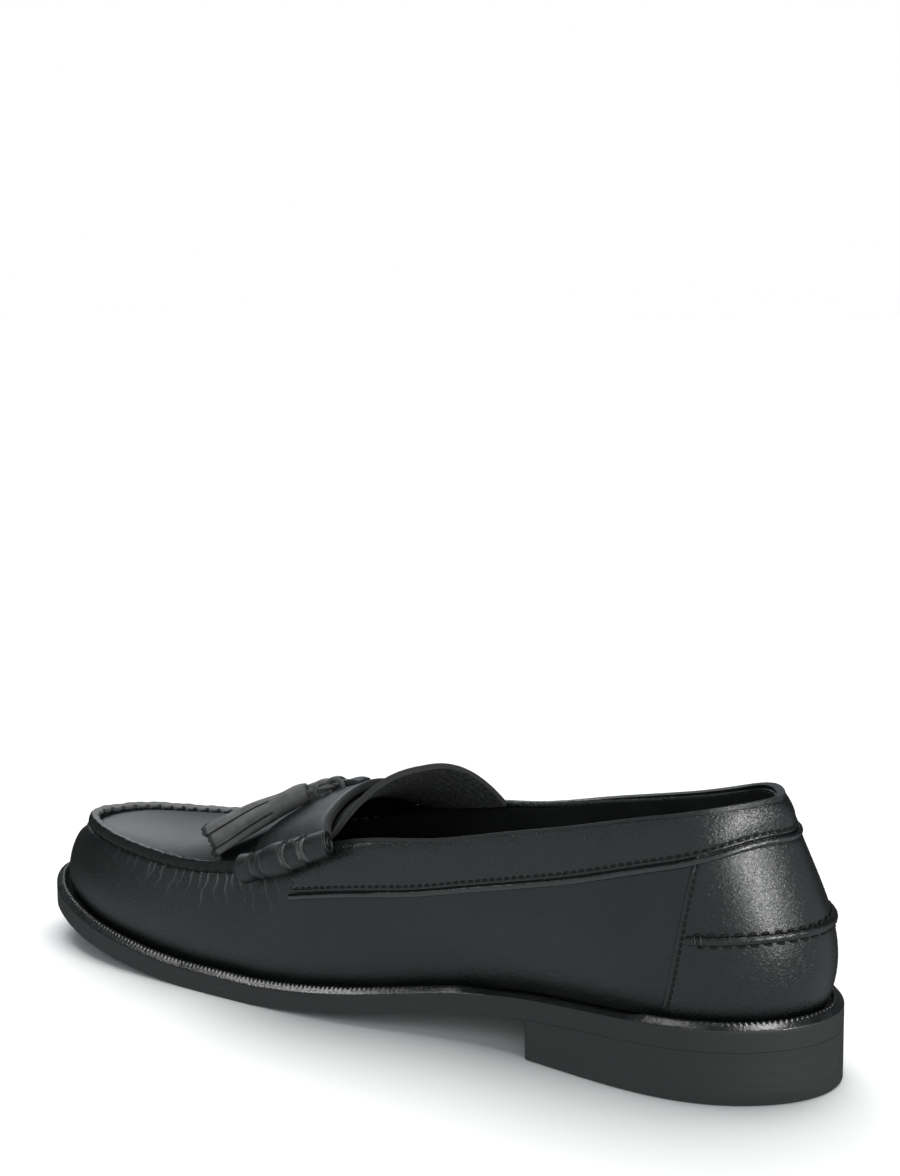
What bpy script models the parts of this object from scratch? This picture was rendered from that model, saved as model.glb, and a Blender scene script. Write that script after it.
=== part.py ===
"""Tassel loafer, right foot, empty and standing on its sole. Sizes are in millimetres, +X to the toe,
+Y to the inner side of the foot, +Z up. Every curved piece is worked out from the tables below."""

import bmesh
import bpy
import numpy as np

for old in list(bpy.data.objects):
    bpy.data.objects.remove(old, do_unlink=True)

MM = 0.001
CENTRE_X = 149.6
CENTRE_Y = -5.2
GAP = 0.3
SHARP_ANGLE = np.radians(40.0)

# Sole: length, the three layers and the heel
SOLE_BACK = -0.8
SOLE_FRONT = 300.0
OUTSOLE_THICK = 3.9
WELT_THICK = 2.2
SOLE_THICK = OUTSOLE_THICK + GAP + WELT_THICK
HEEL_BREAST = 86.0
HEEL_ROWS = 18
FEATHER_INSET = 6.0
WELT_INNER_INSET = 12.0
INSOLE_THICK = 2.5
INSOLE_CLEAR = 0.4

# Upper: wall, topline and the apron sewn into it
WALL = 2.0
TOP_BACK = 17.5
TOP_FRONT = 290.0
APRON_BACK = 160.0
LOOP_STEPS = 96
WALL_ROWS = 8
APRON_COLUMNS = 12
LEAN = 0.35

# Outline of the sole and height of its underside over the floor
SOLE_COLUMNS = ("x", "mid", "half")
SOLE = (
    (6, -0.2, 17.6),
    (18, -0.6, 28.0),
    (40, -0.7, 34.8),
    (75, -1.5, 34.0),
    (110, -2.9, 33.7),
    (145, -2.6, 40.3),
    (180, -4.8, 46.2),
    (210, -6.2, 47.8),
    (240, -4.4, 44.6),
    (268, -0.3, 35.2),
    (288, 3.6, 22.2),
)
UNDER_COLUMNS = ("x", "z")
UNDER = (
    (0, 16.1),
    (40, 15.3),
    (78, 13.4),
    (100, 10.9),
    (125, 6.9),
    (150, 3.2),
    (175, 0.6),
    (190, -0.2),
    (212, -0.2),
    (228, 0.8),
    (250, 3.2),
    (275, 7.5),
    (300, 14.0),
)

# Top edge of the wall: topline at the back, apron seam from the strap to the toe
TOP_COLUMNS = ("x", "mid", "half", "z", "tilt")
TOP = (
    (18, 0.0, 3.0, 84.6, 0.0),
    (25, 0.0, 14.6, 83.7, 0.6),
    (45, 0.0, 25.3, 79.2, 1.9),
    (70, 0.0, 28.6, 73.0, 1.7),
    (95, 0.0, 30.2, 67.6, 1.4),
    (120, 0.4, 31.6, 62.3, 1.3),
    (150, 1.2, 32.4, 58.2, 0.8),
    (175, 1.5, 32.2, 50.6, -0.2),
    (199, 1.4, 30.5, 44.6, -0.8),
    (214, 1.2, 30.8, 42.7, -0.8),
    (241, 1.4, 26.6, 41.4, -0.9),
    (258, 1.6, 22.1, 41.0, -1.1),
    (271, 1.8, 17.9, 41.0, -1.4),
    (280, 2.2, 13.7, 41.0, -1.5),
    (289, 3.4, 4.6, 40.6, -0.6),
)
BULGE_COLUMNS = ("x", "low", "high")
BULGE = (
    (0, 11.0, 5.5),
    (25, 8.0, 4.0),
    (45, 6.5, 2.5),
    (75, 6.0, 2.0),
    (110, 6.0, 3.0),
    (150, 5.5, 4.0),
    (190, 6.0, 5.0),
    (214, 6.0, 5.0),
    (250, 5.0, 4.0),
    (300, 3.6, 2.6),
)
CROWN_COLUMNS = ("x", "rise")
CROWN = (
    (150, 12.0),
    (180, 12.5),
    (199, 11.5),
    (215, 9.2),
    (230, 6.7),
    (250, 4.2),
    (270, 2.6),
    (283, 1.2),
    (290, 0.0),
)

# Tongue behind the strap: sizes at its front edge and at its free rear edge
TONGUE_THICK = 2.2
TONGUE_ROWS = 7
TONGUE_COLUMNS = 18
TONGUE_HALF = (29.4, 29.2)
TONGUE_SHIFT = -1.0
TONGUE_SIDE_TILT = -1.0
TONGUE_SIDE_Z = (56.7, 57.4)
TONGUE_RISE = (10.0, 19.2)
TONGUE_SWEEP = 1.6
TONGUE_RUN = 15.5
TONGUE_RUN_TILT = -10.5

# Strap over the instep: its front and rear edges by distance from the middle
STRAP_THICK = 1.4
STRAP_HALF = 31.0
STRAP_ROWS = 6
STRAP_STEPS = 26
STRAP_COLUMNS = ("off", "front", "rear")
STRAP = (
    (0, 176.0, 168.3),
    (8, 177.3, 168.6),
    (18, 180.9, 167.0),
    (27, 184.2, 162.4),
    (33, 185.4, 157.0),
)

# Rolls: the two beefrolls at the strap's ends and the pull roll round the heel
ROLL_SIDES = 12
BEEFROLL_STEPS = 22
BEEFROLL_FROM = 151.0
BEEFROLL_TO = 190.0
BEEFROLL_HEIGHT = 0.93
BEEFROLL_RADIUS = 4.4
BEEFROLL_END = 0.6
HEEL_ROLL_STEPS = 44
HEEL_ROLL_RADIUS = 1.5
HEEL_ROLL_REACH = 0.198
HEEL_ROLL_HEIGHT = (0.41, 0.42)

# Tassels: two on the apron, each from its head to the end of its fringe
TASSEL_STEPS = 15
TASSEL_SIDES = 18
TASSEL_LOBES = 6
TASSEL_HEAD = (184.5, 9.0)
TASSEL_END = (213.5, 27.0)
TASSEL_COLUMNS = ("along", "wide", "high", "flute")
TASSEL = (
    (0.0, 2.2, 2.2, 0.0),
    (0.06, 3.1, 3.1, 0.0),
    (0.22, 3.4, 3.3, 0.0),
    (0.30, 3.0, 2.9, 0.0),
    (0.45, 4.0, 3.4, 0.05),
    (0.75, 5.2, 3.8, 0.09),
    (1.0, 5.9, 4.0, 0.12),
)
THONG_RADIUS = 1.5
THONG_STEPS = 15
THONG_SIDES = 8
THONG_FRONT = 178.2
THONG_END = (182.8, 7.9)
THONG_RISE = 1.2
BAND_FROM = 176.2
BAND_TO = 167.8
BAND_HALF_WIDTH = 2.3
BAND_THICK = 1.0
BAND_ROWS = 6
BAND_COLUMNS = 4

MATERIALS = {
    "leather": ((0.030, 0.030, 0.033), 0.38),
    "lining": ((0.016, 0.016, 0.017), 0.70),
    "edge": ((0.040, 0.039, 0.040), 0.60),
    "welt": ((0.014, 0.014, 0.015), 0.25),
}


def column(rows, names, name):
    return np.array([row[names.index(name)] for row in rows], float)


def spline(x, knots, values):
    """Natural cubic through the knots, held level past both ends."""
    count = len(knots)
    step = np.diff(knots)
    slope = np.diff(values) / step
    system = np.eye(count)
    right = np.zeros(count)
    for i in range(1, count - 1):
        system[i, i - 1 : i + 2] = (step[i - 1], 2 * (step[i - 1] + step[i]), step[i])
        right[i] = 6 * (slope[i] - slope[i - 1])
    bend = np.linalg.solve(system, right)
    x = np.clip(x, knots[0], knots[-1])
    i = np.clip(np.searchsorted(knots, x) - 1, 0, count - 2)
    low = x - knots[i]
    high = knots[i + 1] - x
    return (
        (bend[i] * high**3 + bend[i + 1] * low**3) / (6 * step[i])
        + (values[i] / step[i] - bend[i] * step[i] / 6) * high
        + (values[i + 1] / step[i] - bend[i + 1] * step[i] / 6) * low
    )


def look_up(x, rows, names, name):
    return spline(x, column(rows, names, "x"), column(rows, names, name))


def half_width(x, rows, names, start, end):
    """Half width over the round-end factor, so that both ends of the outline close smoothly."""
    knots = column(rows, names, "x")
    middle = (start + end) / 2
    ends = np.sqrt(1 - ((knots - middle) / ((end - start) / 2)) ** 2)
    return spline(x, knots, column(rows, names, "half") / ends)


def under(x):
    return np.maximum(look_up(x, UNDER, UNDER_COLUMNS, "z"), 0.0)


def around(p, rows, names, start, end):
    """Plan of a closed outline: p runs 0 at the back, 1 at the toe by the inner side, then back to 2."""
    x = start + (end - start) * (1 - np.cos(np.pi * p)) / 2
    y = look_up(x, rows, names, "mid")
    y = y + half_width(x, rows, names, start, end) * np.sin(np.pi * p)
    return np.stack([x, y], -1)


def outward(p):
    tiny = 1e-4
    ahead = around(p + tiny, SOLE, SOLE_COLUMNS, SOLE_BACK, SOLE_FRONT)
    run = ahead - around(p - tiny, SOLE, SOLE_COLUMNS, SOLE_BACK, SOLE_FRONT)
    out = np.stack([-run[..., 1], run[..., 0]], -1)
    return out / np.linalg.norm(out, axis=-1, keepdims=True)


def inset_outline(p, inset):
    return around(p, SOLE, SOLE_COLUMNS, SOLE_BACK, SOLE_FRONT) - inset * outward(p)


def top_edge(p):
    plan = around(p, TOP, TOP_COLUMNS, TOP_BACK, TOP_FRONT)
    z = look_up(plan[..., 0], TOP, TOP_COLUMNS, "z")
    tilt = look_up(plan[..., 0], TOP, TOP_COLUMNS, "tilt") * np.sin(np.pi * p)
    return np.concatenate([plan, (z + tilt)[..., None]], -1)


def wall(p, v):
    """Outer face of the upper's wall: v is 0 on the welt and 1 at the top edge."""
    p, v = np.broadcast_arrays(np.asarray(p, float), np.asarray(v, float))
    foot = inset_outline(p, FEATHER_INSET)
    foot = np.concatenate([foot, (under(foot[..., 0]) + SOLE_THICK + GAP)[..., None]], -1)
    top = top_edge(p)
    out = np.concatenate([outward(p), np.zeros(p.shape + (1,))], -1)
    x = foot[..., :1]
    rise = (top - foot)[..., 2:] * np.array([0.0, 0.0, LEAN])
    low = foot + out * look_up(x, BULGE, BULGE_COLUMNS, "low") + rise
    high = top + out * look_up(x, BULGE, BULGE_COLUMNS, "high") - rise
    v = v[..., None]
    return (
        foot * (1 - v) ** 3
        + low * 3 * v * (1 - v) ** 2
        + high * 3 * v**2 * (1 - v)
        + top * v**3
    )


def wall_normal(p, v):
    tiny = 1e-4
    across = wall(p + tiny, v) - wall(p - tiny, v)
    up = wall(p, v + tiny) - wall(p, v - tiny)
    out = np.cross(up, across)
    return out / np.linalg.norm(out, axis=-1, keepdims=True)


def apron(x, side):
    """Top face of the apron at x: side is +1 at the inner seam and -1 at the outer one."""
    middle = (TOP_BACK + TOP_FRONT) / 2
    ends = np.sqrt(np.maximum(1 - ((x - middle) / ((TOP_FRONT - TOP_BACK) / 2)) ** 2, 0.0))
    half = half_width(x, TOP, TOP_COLUMNS, TOP_BACK, TOP_FRONT) * ends
    tilt = look_up(x, TOP, TOP_COLUMNS, "tilt") * ends
    y = look_up(x, TOP, TOP_COLUMNS, "mid") + half * side
    z = look_up(x, TOP, TOP_COLUMNS, "z") + tilt * side
    z = z + look_up(x, CROWN, CROWN_COLUMNS, "rise") * (1 - side**2)
    return np.stack(np.broadcast_arrays(x, y, z), -1)


def apron_height(x, y):
    edge = apron(x, np.array(1.0))
    middle = look_up(x, TOP, TOP_COLUMNS, "mid")
    side = (y - middle) / (edge[..., 1] - middle)
    return apron(x, side)[..., 2]


def apron_normal(x, y):
    tiny = 1e-2
    along = (apron_height(x + tiny, y) - apron_height(x - tiny, y)) / (2 * tiny)
    across = (apron_height(x, y + tiny) - apron_height(x, y - tiny)) / (2 * tiny)
    out = np.stack([-along, -across, np.ones_like(along)], -1)
    return out / np.linalg.norm(out, axis=-1, keepdims=True)


def make(name, points, faces, material):
    mesh = bpy.data.meshes.new(name)
    shift = np.array([CENTRE_X, CENTRE_Y, 0.0])
    mesh.from_pydata(((np.asarray(points) - shift) * MM).tolist(), [], [list(face) for face in faces])
    body = bmesh.new()
    body.from_mesh(mesh)
    bmesh.ops.triangulate(body, faces=body.faces)
    bmesh.ops.recalc_face_normals(body, faces=body.faces)
    body.to_mesh(mesh)
    body.free()
    mesh.shade_smooth()
    mesh.set_sharp_from_angle(angle=SHARP_ANGLE)
    piece = bpy.data.objects.new(name, mesh)
    colour, roughness = MATERIALS[material]
    skin = bpy.data.materials.new(name)
    skin.use_nodes = True
    shader = skin.node_tree.nodes["Principled BSDF"]
    shader.inputs["Base Color"].default_value = (*colour, 1.0)
    shader.inputs["Roughness"].default_value = roughness
    mesh.materials.append(skin)
    bpy.context.scene.collection.objects.link(piece)
    return piece


def stacked(name, rings, material, hollow=False):
    """Solid through closed rings of equal length, each starting at the back. A hollow one joins its last
    ring to its first, and any other is capped across from side to side."""
    count = len(rings[0])
    points = np.concatenate(rings)
    faces = []
    for r in range(len(rings) if hollow else len(rings) - 1):
        low = r * count
        high = (r + 1) % len(rings) * count
        for k in range(count):
            after = (k + 1) % count
            faces.append((low + k, low + after, high + after, high + k))
    if not hollow:
        for base in (0, (len(rings) - 1) * count):
            half = count // 2
            faces.append((base, base + 1, base + count - 1))
            for k in range(1, half - 1):
                faces.append((base + k, base + k + 1, base + count - k - 1, base + count - k))
            faces.append((base + half - 1, base + half, base + half + 1))
    return make(name, points, faces, material)


def tube(name, path, sides, material):
    """Solid through open rings along a path, each closed to a point at both ends."""
    rings = len(path)
    points = np.concatenate([*path, path[0].mean(axis=0)[None], path[-1].mean(axis=0)[None]])
    faces = []
    for r in range(rings - 1):
        for k in range(sides):
            after = (k + 1) % sides
            low = r * sides
            high = low + sides
            faces.append((low + k, low + after, high + after, high + k))
    for k in range(sides):
        after = (k + 1) % sides
        faces.append((k, after, rings * sides))
        faces.append(((rings - 1) * sides + k, (rings - 1) * sides + after, rings * sides + 1))
    return make(name, points, faces, material)


def rings_along(path, wide, high, sides, lift, flute=None, lobes=0):
    """Rings round each point of a path: lift gives the direction of a ring's height."""
    run = np.gradient(path, axis=0)
    run = run / np.linalg.norm(run, axis=1, keepdims=True)
    side = np.cross(run, lift)
    side = side / np.linalg.norm(side, axis=1, keepdims=True)
    rise = np.cross(side, run)
    angle = np.arange(sides) * 2 * np.pi / sides
    rings = []
    for i, centre in enumerate(path):
        swell = 1 + (flute[i] * np.cos(lobes * angle) if lobes else 0 * angle)
        out = np.outer(np.cos(angle) * wide[i] * swell, side[i])
        rings.append(centre + out + np.outer(np.sin(angle) * high[i] * swell, rise[i]))
    return rings


def sheet(name, over, thick, material):
    """Solid between a grid of points and the same grid moved in along its normals."""
    down = np.gradient(over, axis=0)
    across = np.gradient(over, axis=1)
    out = np.cross(down, across)
    out = out / np.linalg.norm(out, axis=-1, keepdims=True)
    out = out * np.sign(out[..., 2:])
    rows, columns = over.shape[:2]
    points = np.concatenate([over.reshape(-1, 3), (over - thick * out).reshape(-1, 3)])
    size = rows * columns
    faces = []
    for r in range(rows - 1):
        for c in range(columns - 1):
            corner = r * columns + c
            quad = (corner, corner + 1, corner + columns + 1, corner + columns)
            faces.append(quad)
            faces.append(tuple(size + i for i in reversed(quad)))
    rim = [c for c in range(columns)]
    rim += [r * columns + columns - 1 for r in range(1, rows)]
    rim += [(rows - 1) * columns + c for c in range(columns - 2, -1, -1)]
    rim += [r * columns for r in range(rows - 2, 0, -1)]
    for a, b in zip(rim, rim[1:] + rim[:1]):
        faces.append((a, size + a, size + b, b))
    return make(name, points, faces, material)


# Outsole, welt and insole follow one outline at different insets
LOOP = np.arange(LOOP_STEPS) * 2 / LOOP_STEPS


def ring(inset, height):
    plan = inset_outline(LOOP, inset)
    return np.concatenate([plan, (under(plan[:, 0]) + height)[:, None]], -1)


stacked("outsole", [ring(0.0, 0.0), ring(0.0, OUTSOLE_THICK)], "edge")

welt_low = OUTSOLE_THICK + GAP
stacked(
    "welt",
    [
        ring(0.0, welt_low),
        ring(0.0, SOLE_THICK),
        ring(WELT_INNER_INSET, SOLE_THICK),
        ring(WELT_INNER_INSET, welt_low),
    ],
    "welt",
    hollow=True,
)

insole_low = SOLE_THICK + GAP
stacked(
    "insole",
    [
        ring(WELT_INNER_INSET + GAP, welt_low),
        ring(WELT_INNER_INSET + GAP, insole_low),
        ring(FEATHER_INSET + WALL + INSOLE_CLEAR, insole_low),
        ring(FEATHER_INSET + WALL + INSOLE_CLEAR, insole_low + INSOLE_THICK),
    ],
    "lining",
)

# Heel block: the sole's own outline from the back to the breast, floor to sole
heel_p = np.arccos(1 - 2 * (HEEL_BREAST - SOLE_BACK) / (SOLE_FRONT - SOLE_BACK)) / np.pi
heel_side = np.linspace(0.0, heel_p, HEEL_ROWS)
heel_loop = np.concatenate([heel_side, 2.0 - heel_side[:0:-1]])
heel_plan = around(heel_loop, SOLE, SOLE_COLUMNS, SOLE_BACK, SOLE_FRONT)
heel_foot = np.concatenate([heel_plan, np.zeros((len(heel_plan), 1))], -1)
heel_top = np.concatenate([heel_plan, (under(heel_plan[:, 0]) - GAP)[:, None]], -1)
heel_count = len(heel_plan)
heel_faces = []
for k in range(heel_count):
    after = (k + 1) % heel_count
    heel_faces.append((k, after, heel_count + after, heel_count + k))
for base in (0, heel_count):
    heel_faces.append((base, base + 1, base + heel_count - 1))
    for k in range(1, HEEL_ROWS - 1):
        heel_faces.append((base + k, base + k + 1, base + heel_count - k - 1, base + heel_count - k))
make("heel", np.concatenate([heel_foot, heel_top]), heel_faces, "edge")

# Upper: wall and apron as one outer skin, the same skin moved in by the wall, and two rims
heights = np.linspace(0.0, 1.0, WALL_ROWS + 1)
outer = list(wall(LOOP[:, None], heights[None, :]).reshape(-1, 3))
across_wall = WALL_ROWS + 1
faces = []
for k in range(LOOP_STEPS):
    after = (k + 1) % LOOP_STEPS
    for r in range(WALL_ROWS):
        faces.append(
            (
                k * across_wall + r,
                k * across_wall + r + 1,
                after * across_wall + r + 1,
                after * across_wall + r,
            )
        )
toe = LOOP_STEPS // 2
top_x = top_edge(LOOP)[:, 0]
first = int(np.argmax(top_x[: toe + 1] >= APRON_BACK))
sides = np.linspace(1.0, -1.0, APRON_COLUMNS + 1)
rows = []
for k in range(first, toe):
    row = [k * across_wall + WALL_ROWS]
    for side in sides[1:-1]:
        row.append(len(outer))
        outer.append(apron(top_x[k], side))
    rows.append([*row, (LOOP_STEPS - k) * across_wall + WALL_ROWS])
for row, following in zip(rows, rows[1:]):
    for c in range(APRON_COLUMNS):
        faces.append((row[c], row[c + 1], following[c + 1], following[c]))
tip = toe * across_wall + WALL_ROWS
for c in range(APRON_COLUMNS):
    faces.append((rows[-1][c], rows[-1][c + 1], tip))

outer = np.array(outer)
normals = np.zeros_like(outer)
for face in faces:
    corners = outer[list(face)]
    spread = np.cross(corners[2] - corners[0], corners[-1] - corners[1])
    for corner in face:
        normals[corner] += spread
bottom = np.arange(LOOP_STEPS) * across_wall
normals[bottom, 2] = 0.0
normals[rows[0], 0] = 0.0
normals /= np.linalg.norm(normals, axis=1, keepdims=True)
if np.dot(normals[bottom[toe]], (1.0, 0.0, 0.0)) < 0:
    normals = -normals
inner = outer - WALL * normals
size = len(outer)
solid = [*faces, *(tuple(size + i for i in reversed(face)) for face in faces)]
feather = [k * across_wall for k in range(LOOP_STEPS)]
topline = [k * across_wall + WALL_ROWS for k in range(first)]
topline_far = [k * across_wall + WALL_ROWS for k in range(LOOP_STEPS - first + 1, LOOP_STEPS)]
throat = topline + rows[0] + topline_far
for rim in (feather, throat):
    for a, b in zip(rim, rim[1:] + rim[:1]):
        solid.append((a, size + a, size + b, b))
make("upper", np.concatenate([outer, inner]), solid, "leather")

# Tongue: a sheet that leaves the apron's rear edge under the strap and arches up
throat_x = top_x[first]
blend = np.linspace(0.0, 1.0, TONGUE_ROWS)[:, None]
part = np.linspace(-1.0, 1.0, TONGUE_COLUMNS)[None, :]
tongue_mid = look_up(np.array(throat_x), TOP, TOP_COLUMNS, "mid")
tongue_half = TONGUE_HALF[0] + (TONGUE_HALF[1] - TONGUE_HALF[0]) * blend
tongue_side = TONGUE_SIDE_Z[0] + (TONGUE_SIDE_Z[1] - TONGUE_SIDE_Z[0]) * blend
tongue_rise = TONGUE_RISE[0] + (TONGUE_RISE[1] - TONGUE_RISE[0]) * blend**TONGUE_SWEEP
tongue_x = throat_x - GAP - blend * (TONGUE_RUN + TONGUE_RUN_TILT * part)
tongue_y = tongue_mid + TONGUE_SHIFT * blend + tongue_half * part
tongue_z = tongue_side + TONGUE_SIDE_TILT * part * blend + tongue_rise * (1 - part**2)
tongue_grid = np.stack(np.broadcast_arrays(tongue_x, tongue_y, tongue_z), -1)
sheet("tongue", tongue_grid, TONGUE_THICK, "leather")

# Strap: lies on the apron's rear and on the front of the tongue
offs = np.linspace(-STRAP_HALF, STRAP_HALF, STRAP_STEPS)[None, :]
share = np.linspace(0.0, 1.0, STRAP_ROWS)[:, None]
strap_knots = column(STRAP, STRAP_COLUMNS, "off")
strap_front = spline(np.abs(offs), strap_knots, column(STRAP, STRAP_COLUMNS, "front"))
strap_rear = spline(np.abs(offs), strap_knots, column(STRAP, STRAP_COLUMNS, "rear"))
strap_x = strap_front + (strap_rear - strap_front) * share
strap_y = look_up(strap_x, TOP, TOP_COLUMNS, "mid") + offs
strap_z = apron_height(strap_x, strap_y) + 2 * GAP + STRAP_THICK
sheet("saddle_strap", np.stack(np.broadcast_arrays(strap_x, strap_y, strap_z), -1), STRAP_THICK, "leather")

# Beefrolls: a roll of leather laid along the wall under each end of the strap
start_p = np.arccos(1 - 2 * (BEEFROLL_FROM - TOP_BACK) / (TOP_FRONT - TOP_BACK)) / np.pi
end_p = np.arccos(1 - 2 * (BEEFROLL_TO - TOP_BACK) / (TOP_FRONT - TOP_BACK)) / np.pi
along = np.linspace(0.0, 1.0, BEEFROLL_STEPS)
swell = BEEFROLL_END + (1 - BEEFROLL_END) * np.sqrt(np.sin(np.pi * along))
for name, sign in (("beefroll_inner", 1.0), ("beefroll_outer", -1.0)):
    roll_p = start_p + (end_p - start_p) * along
    roll_p = roll_p if sign > 0 else 2.0 - roll_p
    out = wall_normal(roll_p, np.full(BEEFROLL_STEPS, BEEFROLL_HEIGHT))
    centres = wall(roll_p, BEEFROLL_HEIGHT) + out * (BEEFROLL_RADIUS + GAP)
    radius = BEEFROLL_RADIUS * swell
    tube(name, rings_along(centres, radius, radius, ROLL_SIDES, out), ROLL_SIDES, "leather")

# Pull roll: a thin leather roll sewn round the back of the heel
reach = np.linspace(-1.0, 1.0, HEEL_ROLL_STEPS)
roll_p = np.mod(HEEL_ROLL_REACH * reach, 2.0)
roll_v = HEEL_ROLL_HEIGHT[0] + (HEEL_ROLL_HEIGHT[1] - HEEL_ROLL_HEIGHT[0]) * reach**2
out = wall_normal(roll_p, roll_v)
centres = wall(roll_p, roll_v) + out * (HEEL_ROLL_RADIUS + GAP)
radius = np.full(HEEL_ROLL_STEPS, HEEL_ROLL_RADIUS)
tube("heel_roll", rings_along(centres, radius, radius, THONG_SIDES, out), THONG_SIDES, "leather")

# Tassels, and the thong from the strap to each head
up = np.array([0.0, 0.0, 1.0])
tassel_along = np.linspace(0.0, 1.0, TASSEL_STEPS)
knots = column(TASSEL, TASSEL_COLUMNS, "along")
wide = spline(tassel_along, knots, column(TASSEL, TASSEL_COLUMNS, "wide"))
high = spline(tassel_along, knots, column(TASSEL, TASSEL_COLUMNS, "high"))
flute = spline(tassel_along, knots, column(TASSEL, TASSEL_COLUMNS, "flute"))
apron_mid = float(look_up(np.array(TASSEL_HEAD[0]), TOP, TOP_COLUMNS, "mid"))
for name, sign in (("tassel_inner", 1.0), ("tassel_outer", -1.0)):
    x = TASSEL_HEAD[0] + (TASSEL_END[0] - TASSEL_HEAD[0]) * tassel_along
    y = apron_mid + sign * (TASSEL_HEAD[1] + (TASSEL_END[1] - TASSEL_HEAD[1]) * tassel_along - apron_mid)
    out = apron_normal(x, y)
    path = np.stack([x, y, apron_height(x, y)], -1) + out * (high * (1 + flute) + 2 * GAP)[:, None]
    tube(name, rings_along(path, wide, high, TASSEL_SIDES, out, flute, TASSEL_LOBES), TASSEL_SIDES, "leather")

span = np.linspace(-1.0, 1.0, THONG_STEPS)
x = THONG_FRONT + (THONG_END[0] - THONG_FRONT) * span**2
y = apron_mid + (THONG_END[1] - apron_mid) * span
z = apron_height(x, y) + 2 * GAP + THONG_RADIUS + THONG_RISE * (1 - span**2)
radius = np.full(THONG_STEPS, THONG_RADIUS)
path = np.stack([x, y, z], -1)
tube("tassel_thong", rings_along(path, radius, radius, THONG_SIDES, up), THONG_SIDES, "leather")

# Band of the thong over the middle of the strap
band_x = np.linspace(BAND_FROM, BAND_TO, BAND_ROWS)[:, None]
band_y = apron_mid + np.linspace(-BAND_HALF_WIDTH, BAND_HALF_WIDTH, BAND_COLUMNS)[None, :]
band_z = apron_height(band_x, band_y) + 3 * GAP + STRAP_THICK + BAND_THICK
sheet("thong_band", np.stack(np.broadcast_arrays(band_x, band_y, band_z), -1), BAND_THICK, "leather")
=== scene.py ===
import bmesh
import bpy
import numpy as np
from mathutils import Matrix, Vector


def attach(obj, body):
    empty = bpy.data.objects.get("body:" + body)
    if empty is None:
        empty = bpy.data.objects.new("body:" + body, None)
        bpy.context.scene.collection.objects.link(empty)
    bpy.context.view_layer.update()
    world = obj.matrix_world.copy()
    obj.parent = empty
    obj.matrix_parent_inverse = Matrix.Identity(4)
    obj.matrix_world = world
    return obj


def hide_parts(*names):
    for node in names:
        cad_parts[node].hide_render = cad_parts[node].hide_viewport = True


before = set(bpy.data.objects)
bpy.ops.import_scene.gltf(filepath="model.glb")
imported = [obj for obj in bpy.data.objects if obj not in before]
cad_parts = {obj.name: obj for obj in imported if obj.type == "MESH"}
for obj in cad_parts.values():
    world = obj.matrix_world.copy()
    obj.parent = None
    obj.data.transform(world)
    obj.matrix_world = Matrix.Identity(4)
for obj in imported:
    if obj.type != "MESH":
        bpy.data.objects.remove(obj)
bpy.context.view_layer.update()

# Camera: a long lens off the heel's inner side, a little above the shoe, looking along it to the toe.
# It stands where the photograph was taken from, and its lens gives a frame of 900 by 1176.
CAMERA_PLACE = (-0.373866, 0.517429, 0.233812)
CAMERA_YAW = np.radians(-55.09946)
CAMERA_PITCH = np.radians(-8.93775)
CAMERA_ROLL = np.radians(-0.5976)
CAMERA_LENS = 61.2186
CAMERA_SENSOR = 36.0
CAMERA_NEAR = 0.01


def put(name, data):
    """Object of that name, set into the scene."""
    made = bpy.data.objects.new(name, data)
    bpy.context.scene.collection.objects.link(made)
    return made


lens = bpy.data.cameras.new("camera")
lens.lens = CAMERA_LENS
lens.sensor_width = CAMERA_SENSOR
lens.clip_start = CAMERA_NEAR
camera = put("camera", lens)
camera.matrix_world = (
    Matrix.Translation(CAMERA_PLACE)
    @ Matrix.Rotation(CAMERA_YAW - np.pi / 2, 4, "Z")
    @ Matrix.Rotation(np.pi / 2 + CAMERA_PITCH, 4, "X")
    @ Matrix.Rotation(CAMERA_ROLL, 4, "Z")
)
bpy.context.scene.camera = camera

# Floor: a sheet of pale studio paper, lying flat under the shoe and far past the frame on every side.
# Its finish is matte and nearly white, with the faint clouding of paper.
FLOOR_SIZE = 9.0
FLOOR_STEPS = 24
PAPER = ((0.80, 0.80, 0.80, 1.0), (0.78, 0.78, 0.78, 1.0))
PAPER_CLOUD = 1000 / 6
PAPER_ROUGH = 0.95
PAPER_GLOSS = 0.1
MM = 0.001


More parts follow.
